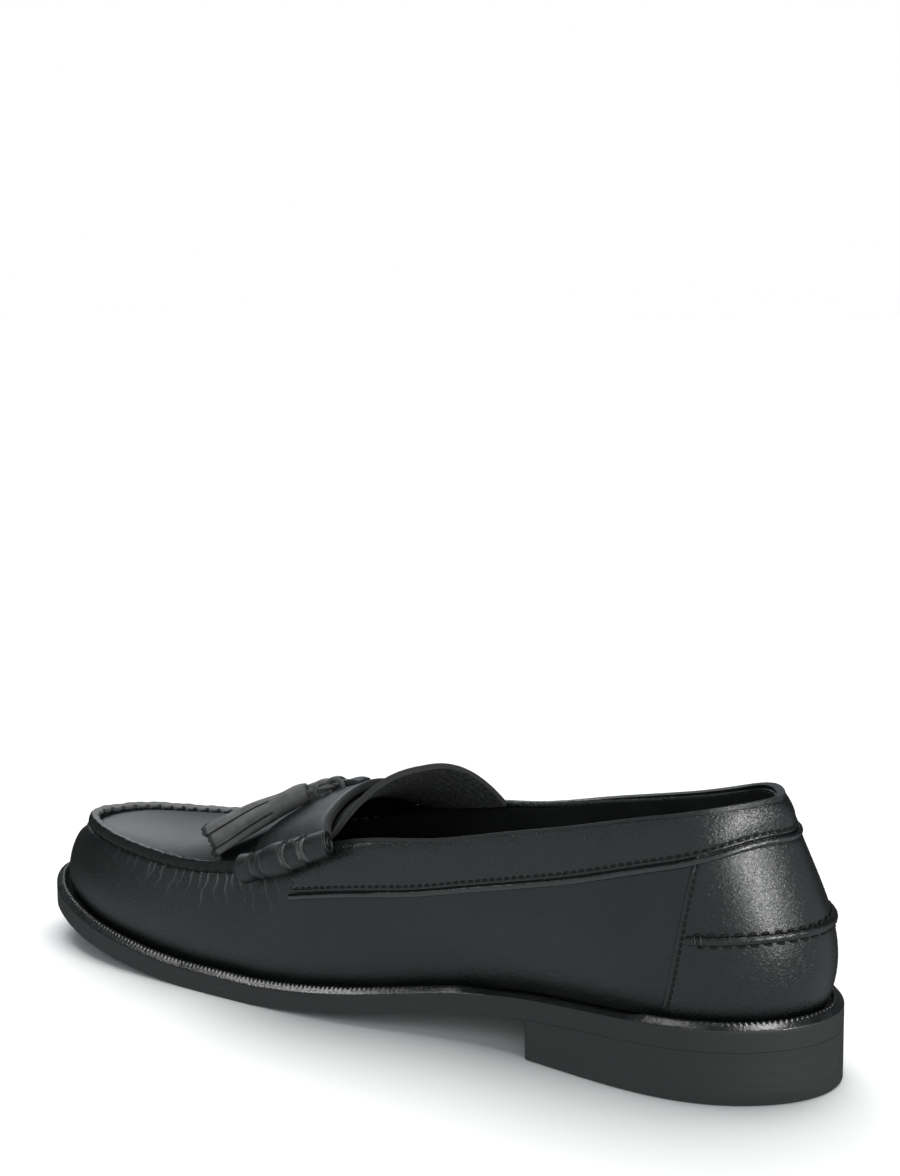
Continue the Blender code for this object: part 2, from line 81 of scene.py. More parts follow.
class Finish:
    """One socket of a material: arithmetic on it adds Math nodes, and node() adds any other node."""

    def __init__(self, tree, socket=None):
        self.tree = tree
        self.socket = socket

    def node(self, kind, settings, sockets, output=0):
        made = self.tree.nodes.new(kind)
        for name, value in settings.items():
            setattr(made, name, value)
        for name, value in sockets.items():
            if isinstance(value, Finish):
                self.tree.links.new(value.socket, made.inputs[name])
            else:
                made.inputs[name].default_value = value
        return Finish(self.tree, made.outputs[output])

    def maths(self, operation, *values):
        return self.node("ShaderNodeMath", {"operation": operation}, dict(enumerate(values)))

    def __add__(self, other):
        return self.maths("ADD", self, other)

    def __sub__(self, other):
        return self.maths("SUBTRACT", self, other)

    def __mul__(self, other):
        return self.maths("MULTIPLY", self, other)

    def __rsub__(self, other):
        return self.maths("SUBTRACT", other, self)

    def __abs__(self):
        return self.maths("ABSOLUTE", self)

    __radd__ = __add__
    __rmul__ = __mul__

    def vector(self, operation, other, output=0):
        return self.node("ShaderNodeVectorMath", {"operation": operation}, {0: self, 1: other}, output)

    def between(self, low, high):
        """0 below low, 1 above high, and a smooth step in the middle."""
        sockets = {"Value": self, "From Min": low, "From Max": high}
        return self.node("ShaderNodeMapRange", {"interpolation_type": "SMOOTHSTEP"}, sockets)

    def blend(self, first, second):
        """Colour from first, where this is 0, to second, where it is 1."""
        return self.node("ShaderNodeMix", {"data_type": "RGBA"}, {0: self, 6: first, 7: second}, 2)

    def marked(self, name):
        """Number that mark() has set on the piece."""
        return self.node("ShaderNodeAttribute", {"attribute_name": name}, {}, "Fac")

    def feed(self, shader, name):
        self.tree.links.new(self.socket, shader.inputs[name])


def new_skin(name, gloss, **constants):
    """Material, its shader, and a first Finish in millimetres of the shoe's own frame."""
    skin = bpy.data.materials.new(name)
    skin.use_nodes = True
    shader = skin.node_tree.nodes["Principled BSDF"]
    shader.inputs["Specular IOR Level"].default_value = gloss
    for socket, value in constants.items():
        shader.inputs[socket].default_value = value
    start = Finish(skin.node_tree)
    metres = start.node("ShaderNodeTexCoord", {}, {}, "Object")
    place = start.node("ShaderNodeVectorMath", {"operation": "SCALE"}, {0: metres, "Scale": 1 / MM})
    return skin, shader, place


def clouds(place, size, detail=3.0, **more):
    """Soft noise from 0 to 1, with lumps of that many millimetres."""
    sockets = {"Vector": place, "Scale": 1 / size, "Detail": detail, **more}
    return place.node("ShaderNodeTexNoise", {}, sockets)


def bump(place, height, depth, shader):
    """Height from 0 to 1 as a relief of that many millimetres."""
    place.node("ShaderNodeBump", {}, {"Height": height, "Distance": depth * MM}).feed(shader, "Normal")


paper, shader, place = new_skin("studio_paper", PAPER_GLOSS, Roughness=PAPER_ROUGH)
clouds(place, PAPER_CLOUD).blend(*PAPER).feed(shader, "Base Color")
sheet = bmesh.new()
bmesh.ops.create_grid(sheet, x_segments=FLOOR_STEPS, y_segments=FLOOR_STEPS, size=FLOOR_SIZE)
floor_mesh = bpy.data.meshes.new("floor")
sheet.to_mesh(floor_mesh)
sheet.free()
floor_mesh.materials.append(paper)
floor = put("floor", floor_mesh)
floor.visible_glossy = False

# Light: a wide soft light above and behind the shoe, a weak one in front, a tall soft strip off the heel, and
# three small boxes that shine on the welt. The room is bright on its far side, dim above and behind the shoe,
# and pale behind the camera, which sees it as plain white.
ROOM_WHITE = (1.0, 1.0, 1.0, 1.0)
ROOM_NEAR = (0.615, 0.665, 0.68, 1.0)
ROOM_PARTS = (  # direction, how squarely a ray meets it where the part starts and is full, and colour
    ((0.57, -0.82, 0.0), (0.1, 0.8), (0.055, 0.058, 0.06, 1.0)),
    ((0.45, -0.50, 0.74), (0.18, 0.48), (0.05, 0.051, 0.052, 1.0)),
    ((0.65, -0.53, 0.545), (0.935, 1.0), (3.0, 3.2, 3.35, 1.0)),
)
WIDE_LIGHTS = (  # name, where it comes from, spread in degrees, and strength
    ("overhead", (0.19, -0.36, 0.91), 66.0, 4.1),
    ("fill", (-0.30, 0.80, 0.40), 60.0, 0.3),
)
HEEL_STRIP_PLACE = (-1.25, 0.33, 0.60)
HEEL_STRIP_SIZE = (0.13, 0.9)
HEEL_STRIP_POWER = 14.5
HEEL_STRIP_LEAN = np.radians(-25.0)
WELT_BOXES = (  # name, place, size and power
    ("waist_box", (0.2350, 0.123, 0.305), (0.105, 0.050), 0.125),
    ("quarter_box", (0.200, 0.220, 0.965), (0.26, 0.12), 0.40),
    ("back_box", (-0.400, -0.045, 1.000), (0.24, 0.25), 1.75),
)
SHOE_MIDDLE = Vector((0.0, 0.0, 0.04))
DOWN = (0.0, 0.0, -1.0)

room = bpy.data.worlds.new("room")
room.use_nodes = True
bpy.context.scene.world = room
bpy.context.scene.view_settings.view_transform = "Standard"
walls = Finish(room.node_tree)
toward = walls.node("ShaderNodeTexCoord", {}, {}, "Generated")
room_light = ROOM_NEAR
for direction, edge, colour in ROOM_PARTS:
    room_light = toward.vector("DOT_PRODUCT", direction, "Value").between(*edge).blend(room_light, colour)
seen = walls.node("ShaderNodeLightPath", {}, {}, "Is Camera Ray")
seen.blend(room_light, ROOM_WHITE).feed(room.node_tree.nodes["Background"], "Color")

for name, toward_light, spread, strength in WIDE_LIGHTS:
    wide_light = bpy.data.lights.new(name, "SUN")
    wide_light.angle = np.radians(spread)
    wide_light.energy = strength
    wide_stand = put(name, wide_light)
    wide_stand.rotation_euler = Vector(toward_light).to_track_quat("Z", "Y").to_euler()
    wide_stand.visible_glossy = False


def softbox(name, place, size, power, aim, lean=0.0):
    """Rectangular soft light at a place, turned where it is aimed and seen only in reflections."""
    lamp = bpy.data.lights.new(name, "AREA")
    lamp.shape = "RECTANGLE"
    lamp.size, lamp.size_y = size
    lamp.energy = power
    stand = put(name, lamp)
    stand.location = place
    turned = Vector(aim).to_track_quat("-Z", "Y").to_matrix()
    stand.rotation_euler = (turned @ Matrix.Rotation(lean, 3, "Z")).to_euler()
    stand.visible_camera = False
    stand.visible_diffuse = False


heel_aim = SHOE_MIDDLE - Vector(HEEL_STRIP_PLACE)
softbox("heel_strip", HEEL_STRIP_PLACE, HEEL_STRIP_SIZE, HEEL_STRIP_POWER, heel_aim, HEEL_STRIP_LEAN)
for name, stand_at, size, power in WELT_BOXES:
    softbox(name, stand_at, size, power, DOWN)

# Outsole: one layer of sole leather cut to the shoe's outline, bent up at the toe and under the arch.
# Its edge is trimmed square and inked; a shallow stitch channel runs round its underside.
ORIGIN = np.array([149.6, -5.2, 0.0])  # the part's origin in the sizes below, which start at the heel
SOLE_BACK = -0.8
SOLE_FRONT = 301.2
OUTSOLE_THICK = 4.05
SOLE_STEPS = 480
SOLE_NEAR = 0.006
SOLE = (  # x, middle and half width of the outline
    (6, -0.2, 17.6),
    (18, -0.6, 28.0),
    (40, -0.7, 34.8),
    (75, -1.5, 34.0),
    (110, -2.9, 33.7),
    (145, -2.6, 40.3),
    (180, -4.8, 46.2),
    (210, -6.2, 47.8),
    (240, -4.4, 44.6),
    (268, -0.3, 35.2),
    (288, 3.6, 22.2),
)
SOLE_PLAN = (SOLE, SOLE_BACK, SOLE_FRONT)
UNDER = (  # x and height of the underside over the floor
    (0, 16.1), (40, 15.3), (78, 13.4), (100, 10.9), (125, 6.9), (150, 3.2), (175, 0.6),
    (190, -0.2), (212, -0.2), (228, 0.8), (250, 3.2), (275, 7.5), (300, 14.0),
)
OUTSOLE_SECTION = (  # inset from the outline and height over the underside, from under the foot outward
    (22.0, 0.0), (7.0, 0.0), (6.6, 0.35), (5.9, 0.35), (5.5, 0.0), (0.15, 0.0), (0.0, 0.12), (0.0, 1.6),
    (0.0, 2.8), (0.0, OUTSOLE_THICK), (9.0, OUTSOLE_THICK), (22.0, OUTSOLE_THICK),
)
EDGE_INK = ((0.0125, 0.013, 0.0133, 1.0), (0.064, 0.068, 0.070, 1.0))
EDGE_ROUGH = 0.62
EDGE_STREAK = (0.03, 0.03, 2.2)
SHARP_ANGLE = np.radians(48.0)


def curve(x, rows, k=1):
    """Smooth value of a table's k-th column at x, held level past both ends."""
    table = np.array(rows, float)
    return spline(x, table[:, 0], table[:, k])


def spline(x, knots, values):
    """Natural cubic through the knots."""
    count = len(knots)
    step = np.diff(knots)
    slope = np.diff(values) / step
    system = np.eye(count)
    right = np.zeros(count)
    for i in range(1, count - 1):
        system[i, i - 1 : i + 2] = (step[i - 1], 2 * (step[i - 1] + step[i]), step[i])
        right[i] = 6 * (slope[i] - slope[i - 1])
    bend = np.linalg.solve(system, right)
    x = np.clip(x, knots[0], knots[-1])
    i = np.clip(np.searchsorted(knots, x) - 1, 0, count - 2)
    low = x - knots[i]
    high = knots[i + 1] - x
    return (
        (bend[i] * high**3 + bend[i + 1] * low**3) / (6 * step[i])
        + (values[i] / step[i] - bend[i] * step[i] / 6) * high
        + (values[i + 1] / step[i] - bend[i + 1] * step[i] / 6) * low
    )


def round_ends(x, start, end):
    return np.sqrt(np.maximum(1 - ((x - (start + end) / 2) / ((end - start) / 2)) ** 2, 0.0))


def half_width(x, rows, start, end):
    """Half width of an outline over its round ends, so that both ends close smoothly."""
    table = np.array(rows, float)
    return spline(x, table[:, 0], table[:, 2] / round_ends(table[:, 0], start, end))


def outline(p, rows, start, end):
    """Plan of a closed outline: p runs from 0 at the back by the inner side to 1 at the toe, and on to 2."""
    x = start + (end - start) * (1 - np.cos(np.pi * p)) / 2
    y = curve(x, rows) + half_width(x, rows, start, end) * np.sin(np.pi * p)
    return np.stack([x, y], -1)


def unit(v):
    return v / np.linalg.norm(v, axis=-1, keepdims=True)


def sole_outward(p):
    run = outline(p + SOLE_NEAR, *SOLE_PLAN) - outline(p - SOLE_NEAR, *SOLE_PLAN)
    return unit(np.stack([-run[..., 1], run[..., 0]], -1))


def under(x):
    return np.maximum(curve(x, UNDER), 0.0)


def sole_ring(p, inset, height):
    """Ring that keeps an inset from the sole's outline and a height over its underside."""
    plan = outline(p, *SOLE_PLAN) - inset * sole_outward(p)
    return np.concatenate([plan, (under(plan[..., 0]) + height)[..., None]], -1)


def loop_of(steps):
    """The p of that many places, once round an outline."""
    return np.arange(steps) * 2 / steps


def shoe_piece(name, bodies, skin, slot, *nodes, closed=False, rims=None):
    """Part of the shoe: a skin over rows of closed outlines, where an open row gets a cap across each end.
    It takes that finish and stands for those solids. A rim is 1 on a raw edge."""
    points = []
    faces = []
    for body in bodies:
        rows, count, _ = body.shape
        index = np.arange(rows * count).reshape(rows, count) + sum(len(p) for p in points)
        here = index if closed else index[:-1]
        there = np.roll(index, -1, axis=0) if closed else index[1:]
        quads = np.stack([here, np.roll(here, -1, axis=1), np.roll(there, -1, axis=1), there], axis=-1)
        faces += quads.reshape(-1, 4).tolist()
        points.append(body.reshape(-1, 3))
        for ring in () if closed else (index[0].tolist(), index[-1].tolist()):
            half = count // 2
            faces.append([ring[0], ring[1], ring[-1]])
            faces += [[ring[k], ring[k + 1], ring[-k - 1], ring[-k]] for k in range(1, half - 1)]
            faces.append([ring[half - 1], ring[half], ring[half + 1]])
    mesh = bpy.data.meshes.new(name)
    mesh.from_pydata(((np.concatenate(points) - ORIGIN) * MM).tolist(), [], faces)
    solid = bmesh.new()
    solid.from_mesh(mesh)
    bmesh.ops.recalc_face_normals(solid, faces=solid.faces)
    solid.to_mesh(mesh)
    solid.free()
    mesh.shade_smooth()
    mesh.set_sharp_from_angle(angle=SHARP_ANGLE)
    mesh.materials.append(skin)
    piece = put(name, mesh)
    if rims is not None:
        mark(piece, "rim", rims)
    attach(piece, "root")
    if nodes:
        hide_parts(*nodes)
    return piece


def mark(piece, name, values):
    """Number at each point of a piece, for its finish to read."""
    made = piece.data.attributes.new(name, "FLOAT", "POINT")
    made.data.foreach_set("value", np.concatenate([v.reshape(-1) for v in values]).astype(np.float32))


inked_edge, shader, place = new_skin("inked_edge", 0.50)
lines = clouds(place.vector("MULTIPLY", EDGE_STREAK), 1.0, 5.0)
fibre = clouds(place, 0.8, 2.0)
scuffs = lines.between(0.66, 0.76) * clouds(place, 14.0).between(0.5, 0.7)
scuffs.blend(*EDGE_INK).feed(shader, "Base Color")
(EDGE_ROUGH + (lines - 0.5) * 0.12 + scuffs * -0.15).feed(shader, "Roughness")
bump(place, lines * 0.7 + fibre * 0.3, 0.018, shader)

outsole_rings = np.stack([sole_ring(loop_of(SOLE_STEPS), *row) for row in OUTSOLE_SECTION])
shoe_piece("outsole", [outsole_rings], inked_edge, "sole_edge", "outsole")

# Heel: lifts of sole leather and a top piece, pegged together under the heel seat and trimmed flush with it.
# The side is inked like the sole's edge, with the faint joints of the lifts showing as lines.
HEEL_BREAST = 86.0
HEEL_SIDE_STEPS = 110
HEEL_BREAST_STEPS = 23
HEEL_CORNER = 0.6
HEEL_JOINTS = (5.2, 8.6, 12.0)
HEEL_JOINT_DEPTH = 0.012
HEEL_JOINT_HALF = 0.14
HEEL_FOOT_BEVEL = 0.45
HEEL_CAP = 8.0


def p_of(x, start, end):
    """Place along an outline, on the inner side, of a distance from the heel."""
    return np.arccos(1 - 2 * (np.asarray(x, float) - start) / (end - start)) / np.pi


corner_p = p_of(HEEL_BREAST, SOLE_BACK, SOLE_FRONT) - HEEL_CORNER / (SOLE_FRONT - SOLE_BACK)
heel_side = np.linspace(0.0, corner_p, HEEL_SIDE_STEPS)
breast_share = np.linspace(0.0, 1.0, HEEL_BREAST_STEPS)[:, None]


def heel_ring(inset, height):
    """Outline of the heel at a height: the sole's own curve at the back, and a straight breast."""
    p = np.concatenate([heel_side, -heel_side[:0:-1]])
    plan = outline(p, *SOLE_PLAN) - inset * sole_outward(p)
    inner = plan[HEEL_SIDE_STEPS - 1] + (0.0, -HEEL_CORNER)
    outer = plan[HEEL_SIDE_STEPS] + (0.0, HEEL_CORNER)
    breast = inner + (outer - inner) * breast_share
    breast[:, 0] = HEEL_BREAST - inset
    ring = np.concatenate([plan[:HEEL_SIDE_STEPS], breast, plan[HEEL_SIDE_STEPS:]])
    z = np.minimum(height, under(ring[:, 0]))
    return np.concatenate([ring, z[:, None]], -1)


heel_rows = [(HEEL_CAP, 0.0), (HEEL_FOOT_BEVEL, 0.0), (0.0, HEEL_FOOT_BEVEL)]
for joint in HEEL_JOINTS:
    heel_rows += [(0.0, joint - HEEL_JOINT_HALF), (HEEL_JOINT_DEPTH, joint), (0.0, joint + HEEL_JOINT_HALF)]
heel_rows += [(0.0, np.inf), (HEEL_CAP, np.inf)]
shoe_piece("heel", [np.stack([heel_ring(*row) for row in heel_rows])], inked_edge, "sole_edge", "heel")

# Welt: a strip of leather laid round the whole sole, on which the upper sits, stitched and then waxed black.
# Its top slopes down from the upper, less so at the waist, and a hot wheel has pressed a row of teeth along
# its inner side. Its outer edge is trimmed flush with the sole and inked like it.
WELT_PITCH = 1.65
WELT_TOOTH_STEPS = 6
WELT_TOOTH = 0.40
WELT_TOOTH_ROUND = 0.6
WELT_TOOTH_SINK = 0.6
WELT_TOOTH_INSET = 4.5
WELT_MEASURE_STEPS = 2001
WELT_WEAR = (  # x, and share of the teeth left
    (0, 1.0), (14, 1.0), (34, 0.15), (110, 0.15), (140, 1.0), (262, 1.0), (284, 1.6),
)
WELT_SECTION = (  # inset from the outline, height over the underside, share of the teeth
    (12.0, 4.05, 0.0),
    (6.0, 4.05, 0.0),
    (0.0, 4.05, 0.0),
    (0.0, 5.2, 0.0),
    (0.0, 6.15, 0.0),
    (0.08, 6.36, 0.0),
    (0.35, 6.62, 0.0),
    (0.9, 7.07, 0.0),
    (1.5, 7.55, 0.0),
    (2.0, 7.94, 0.3),
    (2.35, 8.16, 0.9),
    (2.75, 8.24, 1.0),
    (3.15, 8.1, 0.8),
    (3.6, 7.55, 0.4),
    (4.3, 6.7, 0.0),
    (12.0, 6.2, 0.0),
)
WELT_FLAT = ((44, 1.0), (52, 0.25), (98, 0.25), (112, 1.0))  # x, and share of the slope
WELT_BEND = 6.36
WELT_EDGE = (2, 5)  # first and last place of the section on the inked edge
WELT_WAX = ((0.009, 0.0098, 0.0103, 1.0), (0.018, 0.019, 0.020, 1.0))


def along(path):
    """Distance run at each point of a path."""
    return np.concatenate([[0.0], np.cumsum(np.linalg.norm(np.diff(path, axis=0), axis=1))])


def second_skin(piece, skin, count, first, last):
    """Another skin between two places of every outline, each of which has that many points."""
    piece.data.materials.append(skin)
    for polygon in piece.data.polygons:
        spots = [corner % count for corner in polygon.vertices]
        if min(spots) >= first and max(spots) <= last:
            polygon.material_index = 1


waxed_welt, shader, place = new_skin("waxed_welt", 1.0)
smear = clouds(place, 3.5, 4.0)
crackle = clouds(place, 0.9)
smear.between(0.35, 0.7).blend(*WELT_WAX).feed(shader, "Base Color")
(0.15 + smear * 0.10 + crackle * 0.05).feed(shader, "Roughness")
bump(place, smear * 0.4 + crackle * 0.6, 0.11, shader)

once_round = np.linspace(0.0, 2.0, WELT_MEASURE_STEPS)
round_run = along(sole_ring(once_round, WELT_TOOTH_INSET, 0.0))
tooth_count = int(round_run[-1] / WELT_PITCH)
tooth_phase = np.arange(tooth_count * WELT_TOOTH_STEPS) / WELT_TOOTH_STEPS
welt_loop = np.interp(tooth_phase * round_run[-1] / tooth_count, round_run, once_round)
welt_x = outline(welt_loop, *SOLE_PLAN)[:, 0]
tooth = WELT_TOOTH * (np.abs(np.sin(np.pi * tooth_phase)) ** WELT_TOOTH_ROUND - WELT_TOOTH_SINK)
tooth = tooth * curve(welt_x, WELT_WEAR)
welt_slope = np.interp(welt_x, *np.transpose(WELT_FLAT))
welt_rows = []
for inset, height, share in WELT_SECTION:
    height = height + min(WELT_BEND - height, 0.0) * (1 - welt_slope) + share * tooth
    welt_rows.append(sole_ring(welt_loop, inset, height))
welt = shoe_piece("welt", [np.stack(welt_rows, axis=1)], waxed_welt, "welt", "welt", closed=True)
second_skin(welt, inked_edge, len(WELT_SECTION), *WELT_EDGE)

# Insole: the board that the foot stands on, covered in black lining leather and cupped a little at its rim.
# A half sock of the same leather, stitched round its edge, is glued over the heel end.
INSOLE_TOP = 9.1
INSOLE_SECTION = (  # inset from the sole's outline and height over its underside
    (12.3, 4.4), (12.3, 6.75), (8.5, 6.75), (8.4, 8.6), (8.6, 9.5), (9.4, 9.65), (11.0, 9.3), (14.0, 9.15),
    (20.0, INSOLE_TOP),
)
INSOLE_STEPS = 240
SOCK_FRONT = 104.0
SOCK_INSET = 11.0
SOCK_STEPS = 120
SOCK_SQUARE = 0.55
SOCK_SECTION = (  # inset from the sock's own edge and height over the insole's middle
    (0.9, -0.2), (0.0, 0.1), (0.15, 0.55), (0.7, 0.85), (1.5, 0.80), (2.1, 0.62), (2.7, 0.80), (4.0, 1.15),
    (8.0, 1.35),
)
LINING = ((0.0080, 0.0084, 0.0088, 1.0), (0.0150, 0.0156, 0.0160, 1.0))

lining_leather, shader, place = new_skin("lining_leather", 0.24)
nap = clouds(place, 0.5)
rubbed = clouds(place, 22.0)
rubbed.between(0.4, 0.75).blend(*LINING).feed(shader, "Base Color")
(0.92 - rubbed * 0.22).feed(shader, "Roughness")
bump(place, nap, 0.08, shader)

insole_rings = np.stack([sole_ring(loop_of(INSOLE_STEPS), *row) for row in INSOLE_SECTION])
shoe_piece("insole", [insole_rings], lining_leather, "lining", "insole")

sock_turn = np.pi * loop_of(SOCK_STEPS)
sock_bow = np.sign(np.sin(sock_turn)) * np.abs(np.sin(sock_turn)) ** SOCK_SQUARE
sock_back = SOLE_BACK + SOCK_INSET
sock_rings = []
for inset, height in SOCK_SECTION:
    x = (sock_back + SOCK_FRONT) / 2 - ((SOCK_FRONT - sock_back) / 2 - inset) * np.cos(sock_turn)
    sole_half = half_width(x, *SOLE_PLAN) * round_ends(x, SOLE_BACK, SOLE_FRONT)
    y = curve(x, SOLE) + (sole_half - SOCK_INSET - inset) * sock_bow
    sock_rings.append(np.stack([x, y, under(x) + INSOLE_TOP + height], -1))
shoe_piece("heel_sock", [np.stack(sock_rings)], lining_leather, "lining")

# Wall of the upper: one piece of black calf drawn over the last, from the welt up to the apron and collar.
# The hand-sewn apron seam gathers it in short soft pleats, strongest along the side of the foot.
UP = np.array([0.0, 0.0, 1.0])
WALL_THICK = 1.2
WALL_NEAR = 1e-3
WALL_MEASURE_STEPS = 80
FEATHER_INSET = 6.0
FEATHER_HEIGHT = 6.7
TOP_BACK = 17.5
TOP_FRONT = 290.0
LEAN = 0.35
TOP = (  # x, middle, half width, height and tilt to the inner side of the top edge
    (18, 0.0, 3.0, 84.6, 0.0),
    (25, 0.0, 14.6, 83.7, 0.6),
    (45, 0.0, 25.3, 79.2, 1.9),
    (70, 0.0, 28.6, 73.0, 1.7),
    (95, 0.0, 30.2, 67.6, 1.4),
    (120, 0.4, 31.6, 62.3, 1.3),
    (150, 1.2, 32.4, 58.2, 0.8),
    (175, 1.5, 32.2, 50.6, -0.2),
    (199, 1.4, 30.5, 44.6, -0.8),
    (214, 1.2, 30.8, 42.7, -0.8),
    (241, 1.4, 26.6, 41.4, -0.9),
    (258, 1.6, 22.1, 41.0, -1.1),
    (271, 1.8, 17.9, 41.0, -1.4),
    (280, 2.2, 13.7, 41.0, -1.5),
    (289, 3.4, 4.6, 40.6, -0.6),
)
TOP_PLAN = (TOP, TOP_BACK, TOP_FRONT)
BULGE = (  # x, and how far the wall swells out low down and high up
    (0, 11.0, 5.5), (25, 8.0, 4.0), (45, 6.5, 2.5), (75, 6.0, 2.0), (110, 6.0, 3.0), (150, 5.5, 4.0),
    (190, 6.0, 5.0), (214, 6.0, 5.0), (250, 5.0, 4.0), (275, 4.6, 4.2), (300, 2.8, 4.6),
)
WALL_COARSE_STEPS = 150
WALL_FINE_STEPS = 460
WALL_BACK_EVERY = 6
WALL_FINE_FROM = 160.0
WALL_FINE_DEPTH = 21.0
WALL_FINE_ROWS = 32
WALL_LOW_ROWS = 26
SEAM_LIFT = (  # p along the seam, and how far its lip stands over the wall's top edge
    (0.50, 0.0), (0.74, 0.1), (0.80, 0.8), (0.87, 1.8), (0.93, 2.1), (1.00, 2.0), (1.06, 1.6), (1.12, 0.9),
    (1.25, 0.2), (1.50, 0.0),
)
SEAM_IN = (  # p along the seam, and how far it lies inside the wall's top edge
    (0.50, 0.0), (0.78, 0.2), (0.86, 1.0), (0.93, 2.2), (1.00, 2.7), (1.07, 2.2), (1.14, 1.0), (1.22, 0.2),
    (1.50, 0.0),
)
SEAM_IN_DEPTH = 4.5
SEAM_STARTS = (183.0, 193.0)
SEAM_GROOVE = 1.0
SEAM_GROOVE_HALF = 0.8
LIP_TALL = 3.0
LIP_TUCK = 1.3
LIP_TUCK_HALF = 1.2
PLEATS = (  # x of the stitch that draws it in, length, height, and lean to the toe in mm per mm
    (270, 5.0, 0.08, 0.30),
    (263, 6.0, 0.10, 0.34),
    (256.5, 5.5, 0.13, 0.22),
    (248.5, 7.5, 0.18, 0.36),
    (244.5, 8.5, 0.20, 0.16),
    (236.5, 7.0, 0.18, 0.10),
    (234.0, 9.0, 0.22, 0.26),
    (229, 9.0, 0.25, 0.22),
    (222.5, 11.0, 0.28, 0.20),
    (219.5, 8.0, 0.20, 0.10),
    (214.5, 11.5, 0.30, 0.24),
    (211.0, 7.0, 0.16, 0.05),
    (208.0, 14.0, 0.32, 0.08),
    (204.5, 9.0, 0.22, -0.12),
    (201.0, 12.0, 0.28, -0.30),
    (198.5, 8.0, 0.18, -0.42),
    (195.0, 13.0, 0.20, -0.44),
    (190.5, 15.0, 0.16, -0.40),
    (185.0, 17.0, 0.12, -0.50),
    (179.5, 18.0, 0.11, -0.42),
    (175.0, 18.0, 0.09, -0.55),
)
PLEAT_ROW = 5
PLEAT_HALF = 0.52
PLEAT_START = 1.2
PLEAT_FULL = 0.35
PLEAT_FADE = 1.3
PLEAT_TROUGH = 0.7
PLEAT_TROUGH_OFF = 1.4 * PLEAT_HALF
PLEAT_WAVER = 0.45
PLEAT_WAVE = 0.85
PLEAT_PHASE = 1.7
CREST_HALF = 0.36
GATHER_ALONG = ((172.0, 186.0), (262.0, 222.0))  # where the hair creases and their painted highlight start and are full, from each end
GATHER_BELOW = ((1.0, 3.5), (20.0, 6.0))  # the same down from the seam
CALF_BLACK = (0.0045, 0.0052, 0.0055, 1.0)
CALF = (CALF_BLACK, (0.0068, 0.0077, 0.0082, 1.0))
RAW_EDGE = (0.015, 0.0155, 0.016, 1.0)
RAW_ROUGH = 0.88
# painted highlight: the light colour of the hair creases and pleat crests, standing for light on their ridges
CREASE_HIGHLIGHT = (0.17, 0.172, 0.174, 1.0)
HAIR_STRETCH = (0.75, 0.75, 0.11)
HAIR_THIN = (0.003, 0.016)
GRAIN_STRETCH = (1.0, 1.0, 1.5)


def ramp(value, start, end):
    """0 at start, 1 at end, and level past both."""
    return np.clip((value - start) / (end - start), 0.0, 1.0)


def bell(value, half):
    """1 at 0, falling softly to both sides."""
    return np.exp(-((value / half) ** 2))


def top_edge(p):
    plan = outline(p, *TOP_PLAN)
    z = curve(plan[..., 0], TOP, 3) + curve(plan[..., 0], TOP, 4) * np.sin(np.pi * p)
    return np.concatenate([plan, z[..., None]], -1)


def p_at(x):
    """Place along the top edge, on the inner side, of a distance from the heel."""
    return p_of(x, TOP_BACK, TOP_FRONT)


def wall(p, v):
    """Outer face of the wall: v is 0 on the welt and 1 at the top edge."""
    p, v = np.broadcast_arrays(np.asarray(p, float), np.asarray(v, float))
    foot = sole_ring(p, FEATHER_INSET, FEATHER_HEIGHT)
    top = top_edge(p)
    out = np.concatenate([sole_outward(p), np.zeros(p.shape + (1,))], -1)
    rise = (top - foot)[..., 2:] * LEAN * UP
    low = foot + out * curve(foot[..., :1], BULGE) + rise
    high = top + out * curve(foot[..., :1], BULGE, 2) - rise
    v = v[..., None]
    return foot * (1 - v) ** 3 + low * 3 * v * (1 - v) ** 2 + high * 3 * v**2 * (1 - v) + top * v**3


def wall_up(p, v):
    """Direction up the wall's face."""
    return unit(wall(p, v + WALL_NEAR) - wall(p, v - WALL_NEAR))


def wall_out(p, v):
    """Direction straight out of the wall."""
    return unit(np.cross(wall_up(p, v), wall(p + WALL_NEAR, v) - wall(p - WALL_NEAR, v)))


def off_wall(p, v, out):
    """Point that far out from the wall's face, or behind it where out is below 0."""
    return wall(p, v) + wall_out(p, v) * np.asarray(out)[..., None]


def down_wall(p):
    """The v of steps down the wall from its top edge, and the millimetres of leather to each of them."""
    steps = np.linspace(1.0, 0.0, WALL_MEASURE_STEPS)
    line = wall(p[:, None], steps)
    run = np.cumsum(np.linalg.norm(np.diff(line, axis=1), axis=2), axis=1)
    return steps, np.concatenate([np.zeros((len(p), 1)), run], axis=1)


def below_top(p, depth):
    """The v of points that lie that many millimetres below the top edge, measured along the leather."""
    steps, runs = down_wall(p)
    return np.array([np.interp(d, run, steps) for d, run in zip(depth, runs)])


def seam_lift(p):
    return curve(np.mod(p, 2.0), SEAM_LIFT)


def seam_in(p):
    return curve(np.mod(p, 2.0), SEAM_IN)


def sheet_loops(over, under_side, bulge=0.0):
    """Closed outlines across a sheet: its upper points, a round rim, its lower points and the other rim."""
    first = (over[:, :1] + under_side[:, :1]) / 2
    last = (over[:, -1:] + under_side[:, -1:]) / 2
    first = first + bulge * unit(over[:, :1] - over[:, 1:2])
    last = last + bulge * unit(over[:, -1:] - over[:, -2:-1])
    return np.concatenate([first, over, last, under_side[:, ::-1]], axis=1)


